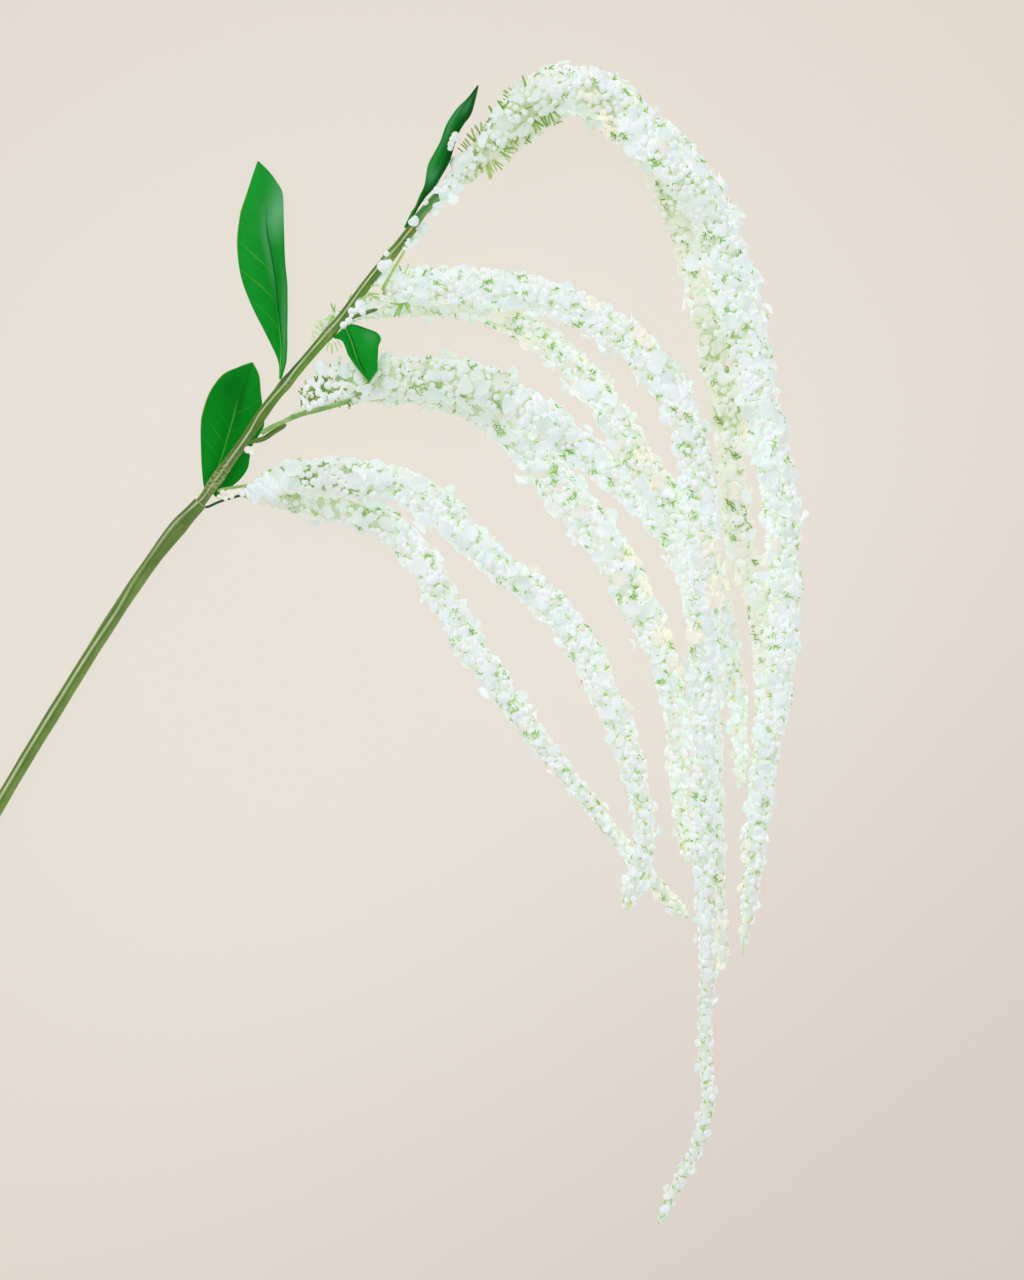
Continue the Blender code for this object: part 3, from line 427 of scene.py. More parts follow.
outside = np.concatenate([[0.0, 0.3 * MM], np.arange(2 * MM, mouth - 34 * MM, 4 * MM),
                          np.arange(mouth - 32 * MM, mouth - 0.8 * MM, 1.3 * MM), [mouth - 0.4 * MM]])
outside_radii = np.interp(outside - mouth, *(np.array(LOWER_RADII) * MM).T)
outside_radii[0] -= 0.25 * MM
lip = [(mouth, MOUTH_RADIUS - 0.08 * MM), (mouth + 0.15 * MM, MOUTH_RADIUS - 0.3 * MM),
       (mouth + 0.1 * MM, SOCKET_RADIUS + 0.12 * MM), (mouth - 0.15 * MM, SOCKET_RADIUS)]
inside = [(mouth - SOCKET_DEPTH / 2, SOCKET_RADIUS), (mouth - SOCKET_DEPTH, SOCKET_RADIUS),
          (mouth - SOCKET_DEPTH, BORE_RADIUS)]
inside += [(along, BORE_RADIUS) for along in np.linspace(mouth - SOCKET_DEPTH - 4 * MM, 0.0, 40)]
along, radii = np.array([*zip(outside, outside_radii), *lip, *inside]).T
shown = np.arange(len(along)) < len(outside)
points = swept(stem_line, along, radii, SIDES, lambda a, t: stem_rise(a, t) * shown[:, None])
faces = ring_faces(len(along), SIDES, looped=True)
lower_stem = placed(closed_mesh("lower_stem_tube", points, faces), stem_plastic, 40)
marked(lower_stem, seam=np.repeat(seam_highlight_share(along) * shown, SIDES), aside=seam_aside(along, SIDES),
       rim=np.repeat(0.9 * (~shown & (along > mouth - 0.1 * MM)), SIDES), deep=0.0, glue=0.0,
       worn=np.repeat(0.25 * hump(along, mouth - 13 * MM, 2.5 * MM), SIDES))
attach(lower_stem, "root")
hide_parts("lower_stem")

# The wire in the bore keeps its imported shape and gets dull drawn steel
steel, tree, shader, patches = new_finish("drawn_steel", 220.0, 2600.0, 0.38, 0.25)
coloured(tree, shader, mixed(tree, patches, colour(150, 150, 146), colour(186, 186, 182)))
shader.inputs["Metallic"].default_value = 1.0
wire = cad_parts["stem_wire"]
wire.data.materials.clear()
wire.data.materials.append(steel)


# The upper stem: the same plastic, thinner, pushed into the collar. It swells at the joints that
# carry leaves and stalks, and four short pegs moulded on it hold the lower tassels.

# Radii in millimetres, by the distance from the mouth
UPPER_RADII = [
    (0, 2.15), (5, 2.25), (9, 2.75), (13, 3), (17, 2.9), (22, 2.5), (61, 2.42), (66, 2.85), (71, 2.42),
    (92, 2.4), (97, 2.8), (102, 2.38), (135, 2.32), (140, 2.75), (145, 2.3), (190, 2.3)]
JOINTS = (66, 97, 140)
PLUG_RADIUS = 1.95 * MM
# Each peg: its root's distance from the mouth, its other points, its radius, how deep its green is
PEGS = [
    (101, [(17.2, 147.7, 23.0), (24.6, 150.2, 24.6), (27.8, 151.0, 24.4)], 0.85, 0.12),
    (99, [(7.6, 144.0, 13.0), (6.4, 144.4, 8.5), (6.8, 145.4, 6.0), (9.0, 146.6, 5.8)], 0.9, 0.0),
    (34, [(-24.3, 92.9, 13.4), (-18.5, 96.5, 14.0), (-13.4, 99.6, 14.4)], 1.15, 0.0),
    (1.2, [(-49.7, 62.4, 9.8), (-42.8, 65.2, 9.8), (-32.6, 68.2, 9.9)], 0.6, 1.0),
]
PEG_SIDES = 12
PEG_RINGS = 14
GLUE_SPOTS = [(42.6, 186.4, 25.6), (27.2, 163.0, 22.0)]

tip = stem_line.length
shown_along = np.concatenate([np.arange(mouth + 0.3 * MM, tip - MM, 1.1 * MM),
                              [tip - 0.9 * MM, tip - 0.3 * MM, tip]])
shown_radii = np.interp((shown_along - mouth) / MM, *zip(*UPPER_RADII)) * MM
shown_radii[-2:] -= (0.12 * MM, 0.6 * MM)
plug_along = np.linspace(mouth - SOCKET_DEPTH + 0.3 * MM, mouth + 0.2 * MM, 8)
along = np.concatenate([plug_along, shown_along])
radii = np.concatenate([np.full(len(plug_along), PLUG_RADIUS), shown_radii])
shown = along > mouth + 0.25 * MM
points = swept(stem_line, along, radii, SIDES, lambda a, t: stem_rise(a, t) * shown[:, None]).reshape(-1, 3)
faces = ring_faces(len(along), SIDES)
from_mouth = np.repeat(along - mouth, SIDES) / MM
aside = seam_aside(along, SIDES)
# Dark patches on the stem by the feet of leaf 2 and leaf 4: painted shade
leaf_2_foot_shade = 0.85 * hump(from_mouth, 71, 7, 4) * hump(aside, 36, 24, 4)
leaf_4_foot_shade = 0.8 * hump(from_mouth, 98, 4, 4) * hump(aside, -92, 26, 4)
worn = 0.5 * sum(hump(from_mouth, joint, 3) for joint in JOINTS) + 0.85 * hump(from_mouth, 14, 10)
marks = {"seam": np.repeat(seam_highlight_share(along) * shown, SIDES), "worn": worn, "aside": aside,
         "deep": leaf_2_foot_shade + leaf_4_foot_shade}
for start, way, radius, deep in PEGS:
    peg = Line([stem_line.read(mouth + start * MM)[:3] / MM, *way])
    radii = np.full(PEG_RINGS, radius * MM)
    radii[-1] *= 0.55
    faces += [tuple(v + len(points) for v in face) for face in ring_faces(PEG_RINGS, PEG_SIDES)]
    rings = swept(peg, np.linspace(0, peg.length, PEG_RINGS), radii, PEG_SIDES).reshape(-1, 3)
    points = np.vstack([points, rings])
    for label, value in (("seam", 0.0), ("worn", 0.1), ("aside", -60.0), ("deep", deep)):
        marks[label] = np.append(marks[label], np.full(len(rings), value))
from_spots = [np.linalg.norm(points - np.array(spot) * MM, axis=1) for spot in GLUE_SPOTS]
upper_stem = placed(closed_mesh("upper_stem_rod", points, faces), stem_plastic, 40)
marked(upper_stem, **marks, rim=0.0, glue=sum(hump(far, 0, 0.8 * MM, 4) for far in from_spots))
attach(upper_stem, "root")
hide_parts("upper_stem")


# The stalks: soft light green plastic twigs, glued to the stem, that lead into the upper tassels.
# The first is a flat strip that carries the stem's tip on into both tassels of the top spray.

# Each stalk's points, half width in millimetres and flatness
STALKS = {
    "stalk_1": ([(43.2, 188.1, 23.6), (45.0, 190.4, 23.8), (48.2, 194.6, 24.1), (53.0, 200.0, 24.4),
                 (56.4, 203.2, 24.4)], 2.05, 0.62),
    "stalk_2": ([(42.9, 185.6, 23.6), (41.2, 180.8, 24.0), (39.4, 176.4, 24.6), (35.0, 168.8, 26.0),
                 (31.4, 162.6, 25.6), (30.2, 160.2, 23.0), (31.4, 159.2, 21.0)], 0.62, 1.0),
    "stalk_3": ([(-24.6, 95.4, 16.2), (-20.5, 98.0, 17.2), (-14.9, 100.6, 18.0), (-9.4, 103.0, 19.0),
                 (-4.0, 104.8, 22.0), (3.0, 106.4, 25.0), (9.5, 108.2, 26.4), (16.2, 110.2, 26.8)], 1.1, 0.7),
    "stalk_4": ([(-44.6, 69.6, 11.8), (-41.6, 70.5, 11.6), (-34.0, 71.8, 11.8), (-29.4, 72.4, 12.0)],
                0.72, 1.0),
}
STALK_SIDES = 20
STALK_RINGS = 26

twig_plastic, tree, shader, patches = new_finish("light_twig_plastic", 160.0, 1200.0, 0.48, 0.4)
fresh = painted(
    tree, mixed(tree, patches, colour(126, 184, 84), colour(166, 206, 118)),
    (reach(tree, noise(tree, object_place(tree), 420.0, 1.0), 0.45, 0.75), colour(192, 218, 148)),
    # Stalk 1's own darker green, stronger and weaker in bands round the strip: painted light and shade
    (read_mark(tree, "strip"), colour(58, 146, 62)),
    (read_mark(tree, "lime"), colour(192, 228, 120)))
coloured(tree, shader, fresh)


def twig_rise(along, turns):
    return 0.07 * MM * np.cos(2 * turns + along / (4 * MM)) + 0.05 * MM * np.sin(along / (1.9 * MM))


for name, (way, half_width, flatness) in STALKS.items():
    stalk_line = Line(way)
    stations = np.linspace(0.3 * MM, stalk_line.length, STALK_RINGS)
    radii = np.full(STALK_RINGS, half_width * MM)
    radii[[0, -1]] *= 0.7
    points = swept(stalk_line, stations, radii, STALK_SIDES, twig_rise)
    level = stalk_line.read(stations)[:, None, 2]
    points[:, :, 2] = level + (points[:, :, 2] - level) * flatness
    stalk = closed_mesh(name + "_twig", points, ring_faces(STALK_RINGS, STALK_SIDES))
    stalk = placed(stalk, twig_plastic, 40)
    # Bands of stronger and weaker green round stalk 1's strip: painted light and shade
    fold_shading = 0.7 + 0.3 * np.cos(3 * round_turns(STALK_SIDES) + 0.6)
    marked(stalk, strip=np.tile(fold_shading * (name == "stalk_1"), STALK_RINGS), lime=name == "stalk_2")
    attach(stalk, "root")
    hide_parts(name)


# The leaves: four printed cloth blades with a raised rib, veins and a thin pale cut edge. Each
# is glued by its short foot to a swelling of the stem and bent by hand.

# Each leaf sits at a distance from the mouth and a turn round the stem. Its tones are a base value
# and soft spots: how far along and across, how long, wide and strong. The light tone is the leaf's own
# green with painted light in it, the dark tone is painted shade and the pale bluish one a painted sheen.
# Its rib line and the painted shade of the groove beside it run between two shares of its length, as
# strong as the third number says, its pale trim between two shares of its left edge.
LEAVES = {
    "leaf_1": {
        "seat": (7, 262),
        "left": [
            (-49.2, 67.2, 8.4), (-50.5, 71.6, 7.4), (-51.4, 79, 6.2), (-51.9, 87.3, 5), (-52.1, 99, 4.2),
            (-51.3, 105.3, 4), (-47.9, 114.8, 3.8), (-42.1, 122.4, 3.4), (-34.6, 126, 3), (-29, 128, 2.6)],
        "rib": [
            (-48.1, 70.7, 8.4), (-45, 78, 6.8), (-42.1, 86.4, 5.4), (-38.7, 98.1, 4.6), (-37.2, 103.5, 4.4),
            (-35.2, 111.2, 4.2), (-31.9, 119.7, 3.6), (-28.8, 128, 2.6)],
        "right": [
            (-47.4, 68.4, 8.4), (-44.8, 66.9, 7.8), (-42.2, 68.7, 7.4), (-38.9, 71.2, 7), (-35.2, 74.1, 6.6),
            (-32.2, 77.6, 6.2), (-30.5, 81, 6), (-29.9, 85, 5.8), (-28.4, 91, 5.7), (-23.6, 99, 5.6),
            (-24.3, 108.9, 5.2), (-25, 114.8, 4.8), (-25.7, 122, 4), (-28.6, 128, 2.6)],
        "light": (0.12, [
            (0.98, 0.4, 0.25, 0.8, 0.22), (0.3, -0.7, 0.25, 0.45, 0.16), (0.6, 0.9, 0.3, 0.4, 0.2)]),
        "dusk": (0.0, [(0.7, 0.14, 0.2, 0.14, 0.5), (0.76, -0.4, 0.12, 0.4, 0.4)]),
        "bloom": (0.0, []),
        "veins": (0.05, [
            (0.42, -0.35, 0.1, 0.3, 0.32), (0.6, 0.5, 0.06, 0.4, 0.35), (0.28, -0.6, 0.08, 0.3, 0.2)]),
        "rib_line": (0.08, 0.6, 0.6),
        "groove": (0.4, 0.85, 0.3),
        "trim": (0.45, 1.0),
    },
    "leaf_2": {
        "seat": (66, 172),
        "left": [
            (-15.9, 121, 15), (-16.7, 126.9, 15.2), (-18.9, 133, 15.6), (-23.7, 142.6, 15.8),
            (-28.5, 152.2, 15.2), (-32.7, 162.6, 14), (-34.7, 171.5, 12.8), (-35.6, 181.9, 11.2),
            (-34.4, 193.6, 9), (-32, 201.8, 7.2), (-26.4, 218.7, 3.4)],
        "rib": [
            (-15.5, 120.6, 15), (-15.5, 133.7, 15), (-16, 140.5, 14.6), (-17.2, 153, 13.6),
            (-18.6, 164.7, 12.2), (-20.2, 175.1, 10.8), (-22.5, 187.2, 9.2), (-22.9, 196.2, 7.6),
            (-24.8, 209.7, 5.4), (-26.3, 218.9, 3.4)],
        "right": [
            (-14.8, 121, 15), (-14, 124.7, 16), (-13.1, 129.5, 17.2), (-12.8, 140.5, 18.6),
            (-12.7, 154.3, 18.8), (-12.8, 162.6, 17.8), (-13.7, 171.5, 16.4), (-14.2, 181.9, 14.8),
            (-14.6, 195.7, 12.2), (-15.1, 203.9, 10.2), (-17.6, 208.8, 8.6), (-21, 213.6, 6.4),
            (-26.1, 218.7, 3.4)],
        "light": (0.5, [(0.92, -0.3, 0.16, 0.8, 0.4), (0.6, -0.8, 0.2, 0.4, 0.2)]),
        "dusk": (0.0, [(0.35, 0.5, 0.14, 0.5, 0.25), (0.5, 0.95, 0.5, 0.16, 0.25)]),
        "bloom": (0.0, [
            (0.72, 0.5, 0.09, 0.55, 0.75), (0.78, 0.95, 0.1, 0.35, 0.5), (0.6, -0.06, 0.13, 0.1, 0.42),
            (0.46, -0.04, 0.1, 0.07, 0.22), (0.2, 0.55, 0.16, 0.3, 0.4), (0.36, 0.8, 0.12, 0.2, 0.2)]),
        "veins": (0.1, [
            (0.4, -0.4, 0.09, 0.45, 0.75), (0.54, -0.5, 0.06, 0.4, 0.7), (0.24, -0.3, 0.05, 0.4, 0.35),
            (0.62, -0.4, 0.05, 0.3, 0.3)]),
        "rib_line": (0.0, 0.2, 0.9),
        "groove": (0.2, 0.66, 0.8),
        "trim": (0.6, 0.8),
    },
    "leaf_3": {
        "seat": (155, 165),
        "left": [
            (41, 189.9, 25.4), (42.8, 194.4, 25.8), (44.8, 197.4, 26), (46.5, 201.7, 26.6),
            (48.9, 206.9, 27.4), (50.4, 215.5, 28.4), (53, 220.7, 29), (56, 226.3, 29.4), (58.5, 233.2, 29.4),
            (61.2, 237.9, 29), (64.6, 242.2, 28.2), (68.5, 246.1, 27), (72.8, 251.8, 24.6)],
        "rib": [
            (41.9, 189.5, 25.4), (43.6, 194, 25.8), (45.5, 197.6, 26), (47.5, 201.6, 26), (50, 206.6, 25.6),
            (54, 213.8, 25.6), (56, 218.1, 26), (58.1, 223.8, 26.4), (59.9, 228.5, 26.6), (62, 234.5, 26.6),
            (64.6, 239.2, 26.2), (67.7, 244, 25.6), (73, 251.9, 24.6)],
        "right": [
            (42.8, 189, 25.4), (44.6, 193.5, 25.8), (46.4, 196.9, 26), (49.5, 201.3, 26.8), (53, 205.2, 27.8),
            (56.4, 210.3, 29), (59, 214.7, 29.8), (60.6, 218.1, 30.2), (62.5, 224.6, 30.6),
            (64.2, 229.7, 30.6), (66.7, 234, 30), (69.8, 238.3, 29), (71.7, 244.3, 27.4), (73.3, 251.3, 24.6)],
        "light": (0.6, [(0.5, -0.6, 0.35, 0.6, 0.4)]),
        "dusk": (0.15, [(0.62, 0.8, 0.6, 0.6, 0.95), (0.15, 0.1, 0.12, 1.2, 0.6), (0.97, 0.5, 0.08, 1, 0.5)]),
        "bloom": (0.0, [
            (0.8, -0.35, 0.1, 0.3, 0.8), (0.64, -0.25, 0.1, 0.3, 0.5), (0.36, -0.1, 0.06, 0.5, 0.7),
            (0.86, 0.3, 0.07, 0.3, 0.35), (0.55, -0.5, 0.2, 0.2, 0.25)]),
        "veins": (0.1, [(0.5, -0.5, 0.2, 0.5, 0.2)]),
        "rib_line": (0.0, 0.1, 0.3),
        "groove": (0.1, 0.9, 0.2),
        "trim": (0.1, 0.5),
    },
    "leaf_4": {
        "seat": (97, 20),
        "left": [
            (10.4, 140.2, 20.4), (12.4, 136.4, 25), (15.2, 129.7, 31), (19.4, 123.5, 36.6), (23.8, 117.8, 43)],
        "rib": [
            (9.7, 141, 20.4), (13.6, 142.2, 23.4), (15.2, 139.4, 26.4), (16.8, 135.2, 30), (18.6, 129.4, 34.4),
            (22.2, 121.6, 40.4), (24, 117.6, 43)],
        "right": [
            (9.7, 141.9, 20.4), (13.6, 143.7, 23), (17.8, 144.1, 25.6), (21.9, 142.7, 28.2),
            (27.6, 140.4, 31.6), (29.5, 137.6, 33.6), (28.5, 134.1, 35.2), (28.1, 128.2, 37.6),
            (27.9, 123, 40), (24.4, 117.5, 43)],
        "light": (0.42, [(0.45, 0.6, 0.25, 0.4, 0.3), (0.3, -1, 0.3, 0.3, 0.1)]),
        "dusk": (0.0, [(0.5, -0.4, 0.25, 0.35, 0.4), (0.3, 0.95, 0.25, 0.12, 0.3)]),
        "bloom": (0.0, [(0.44, 0.75, 0.08, 0.2, 0.3)]),
        "veins": (0.08, [(0.6, 0.5, 0.2, 0.4, 0.12)]),
        "rib_line": (0.0, 0.6, 0.85),
        "groove": (0.1, 0.8, 0.75),
        "trim": (0.55, 0.95),
    },
}
LEAF_ROWS = 72
LEAF_COLUMNS = 29
LEAF_END = 0.996
LEAF_THICKNESS = 0.45 * MM
LEAF_CAMBER = 0.13
LEAF_FOOT = 1.0 * MM
LEAF_CLEAR = 0.7 * MM
# The leaves' faint glow of their own colour is painted light
LEAF_GLOW = 0.12
RIB_RISE = 0.22 * MM
RIPPLE_RISE = 0.12 * MM

# Veins of a leaf, shared by the leaves: slanted side lines that leave the rib in turn on both sides
leaf_veins, given, result = shared_effect(
    "leaf_veins", {"Along": 0.0, "Across": 0.0, "Count": 7.5, "Slant": 0.18, "Width": 0.13}, ("Veins",))
curve = maths(leaf_veins, "POWER", maths(leaf_veins, "ABSOLUTE", given["Across"]), 0.8)
behind = maths(leaf_veins, "SUBTRACT", given["Along"], product(leaf_veins, curve, given["Slant"]))
other_side = product(leaf_veins, maths(leaf_veins, "GREATER_THAN", given["Across"], 0.0), 0.13)
turned = maths(leaf_veins, "ADD", product(leaf_veins, behind, given["Count"]),
               maths(leaf_veins, "ADD", other_side, 0.525))
middle = maths(leaf_veins, "SUBTRACT", maths(leaf_veins, "FRACT", turned), 0.5)
near = product(leaf_veins, maths(leaf_veins, "ABSOLUTE", middle), 2.0)
leaf_veins.links.new(reach(leaf_veins, near, maths(leaf_veins, "SUBTRACT", 1.0, given["Width"]), 1.0),
                     result["Veins"])

leaf_cloth, tree, shader, patches = new_finish("printed_leaf_cloth", 210.0, 1500.0, 0.6, 0.3, 0.04)
print_lines = node(tree, "Group", {"node_tree": leaf_veins}, Along=read_mark(tree, "along"),
                   Across=read_mark(tree, "across"))
offset = read_mark(tree, "offset")
beside_rib = maths(tree, "ABSOLUTE", maths(tree, "SUBTRACT", offset, 0.55))


def line_share(value, label):
    # Full where the value is low, as far as the leaf's mark lets the line show
    return product(tree, reach(tree, value, 0.1, 0.6, 1.0, 0.0), read_mark(tree, label))


trim = product(tree, reach(tree, read_mark(tree, "inward"), 0.1, 0.5, 1.0, 0.0), read_mark(tree, "trim"))
cloth = painted(
    # The light tone: the leaf's own green with painted light in it
    tree, mixed(tree, read_mark(tree, "light"), colour(0, 134, 20), colour(30, 170, 56)),
    (product(tree, patches, 0.16), colour(0, 124, 22)),
    # Painted shade
    (read_mark(tree, "dusk"), colour(10, 82, 22)),
    # A painted sheen
    (read_mark(tree, "bloom"), colour(108, 184, 128)),
    (product(tree, print_lines.outputs["Veins"], read_mark(tree, "veins")), colour(84, 172, 62)),
    # The dark line beside the rib: painted shade of its groove
    (line_share(beside_rib, "groove"), colour(14, 80, 42)),
    (line_share(maths(tree, "ABSOLUTE", offset), "rib_line"), colour(92, 186, 62)),
    (trim, colour(178, 196, 104)))
# A faint glow of the cloth's own colour: painted light
coloured(tree, shader, cloth, LEAF_GLOW)


def blobs(along, across, start, spots):
    # A tone over the blade: a base value and soft spots
    value = np.full(along.shape, float(start))
    for at, side, long, wide, strong in spots:
        value += strong * np.exp(-((along - at) / long) ** 2 - ((across - side) / wide) ** 2)
    return np.clip(value, 0, 1)


def between(along, first, last, strong):
    # Full between two shares of the length, soft at both ends
    return strong * np.clip((along - first) / 0.05 + 1, 0, 1) * np.clip((last - along) / 0.12 + 1, 0, 1)


for name, plan in LEAVES.items():
    at = np.array(mouth + plan["seat"][0] * MM)
    away = stem_line.outward(at, np.array(math.radians(plan["seat"][1])))
    stem_thick = np.interp(plan["seat"][0], *zip(*UPPER_RADII)) * MM
    foot = stem_line.read(at)[:3] + away * (stem_thick + LEAF_CLEAR)
    wide = (np.array(plan["right"][1]) - plan["left"][1]) * MM
    wide = unit(wide - away * (wide @ away))
    sides = [Line([(foot + wide * shift) / MM, *plan[part][1:]])
             for part, shift in (("left", -LEAF_FOOT), ("rib", 0.0), ("right", LEAF_FOOT))]
    shares = np.linspace(0, LEAF_END, LEAF_ROWS)
    left, rib, right = (side.read(shares * side.length)[:, None, :] for side in sides)
    spots = np.linspace(-1, 1, LEAF_COLUMNS)
    across = np.broadcast_to(np.sign(spots) * np.abs(spots) ** 1.3, (LEAF_ROWS, LEAF_COLUMNS))
    along = np.broadcast_to(shares[:, None], across.shape)
    edge = np.where(across[:, :, None] < 0, left, right)
    half_wide = np.linalg.norm(edge - rib, axis=2)
    points = rib + (edge - rib) * np.abs(across)[:, :, None]
    forward = unit(np.gradient(rib, axis=0))
    up = unit(np.cross(unit(right - left), forward))
    arch = LEAF_CAMBER * 4 * np.abs(across) * (1 - np.abs(across)) * half_wide
    ridge = RIB_RISE * hump(across * half_wide, 0, 0.5 * MM)
    ripple = RIPPLE_RISE * np.sin(along * 40 + 5 * across) * np.abs(across)
    points = points + up * (arch + ridge + ripple)[:, :, None]
    thick = LEAF_THICKNESS * (1 + 1.5 * hump(across * half_wide, 0, 0.8 * MM))
    under = points - up * thick[:, :, None]
    count = LEAF_ROWS * LEAF_COLUMNS
    corners = np.arange(count).reshape(LEAF_ROWS, LEAF_COLUMNS)
    quads = np.stack([corners[:-1, :-1], corners[:-1, 1:], corners[1:, 1:], corners[1:, :-1]], axis=-1)
    quads = quads.reshape(-1, 4)
    around = np.concatenate([corners[0], corners[1:, -1], corners[-1, -2::-1], corners[-2:0:-1, 0]])
    beyond = np.roll(around, -1)
    faces = [*quads.tolist(), *(quads[:, ::-1] + count).tolist(),
             *np.stack([around, around + count, beyond + count, beyond], axis=1).tolist()]
    leaf = placed(closed_mesh(name + "_blade", np.stack([points, under]), faces), leaf_cloth, 50)
    marks = {"along": along, "across": across, "offset": across * half_wide / MM,
             "inward": (1 - np.abs(across)) * half_wide / MM,
             "trim": np.where(across < 0, between(along, *plan["trim"], 0.8), between(along, 0.9, 1.0, 0.5))}
    for label in ("rib_line", "groove"):
        marks[label] = between(along, *plan[label])
    for label in ("light", "dusk", "bloom", "veins"):
        marks[label] = blobs(along, across, *plan[label])
    marked(leaf, **{label: np.tile(np.ravel(values), 2) for label, values in marks.items()})
    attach(leaf, "root")
    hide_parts(name)


# The tassels: each is a soft strand closely set with foam beads, translucent round petals and
# combs of light green needles. The strand, the beads, the petals and the combs are separate meshes.

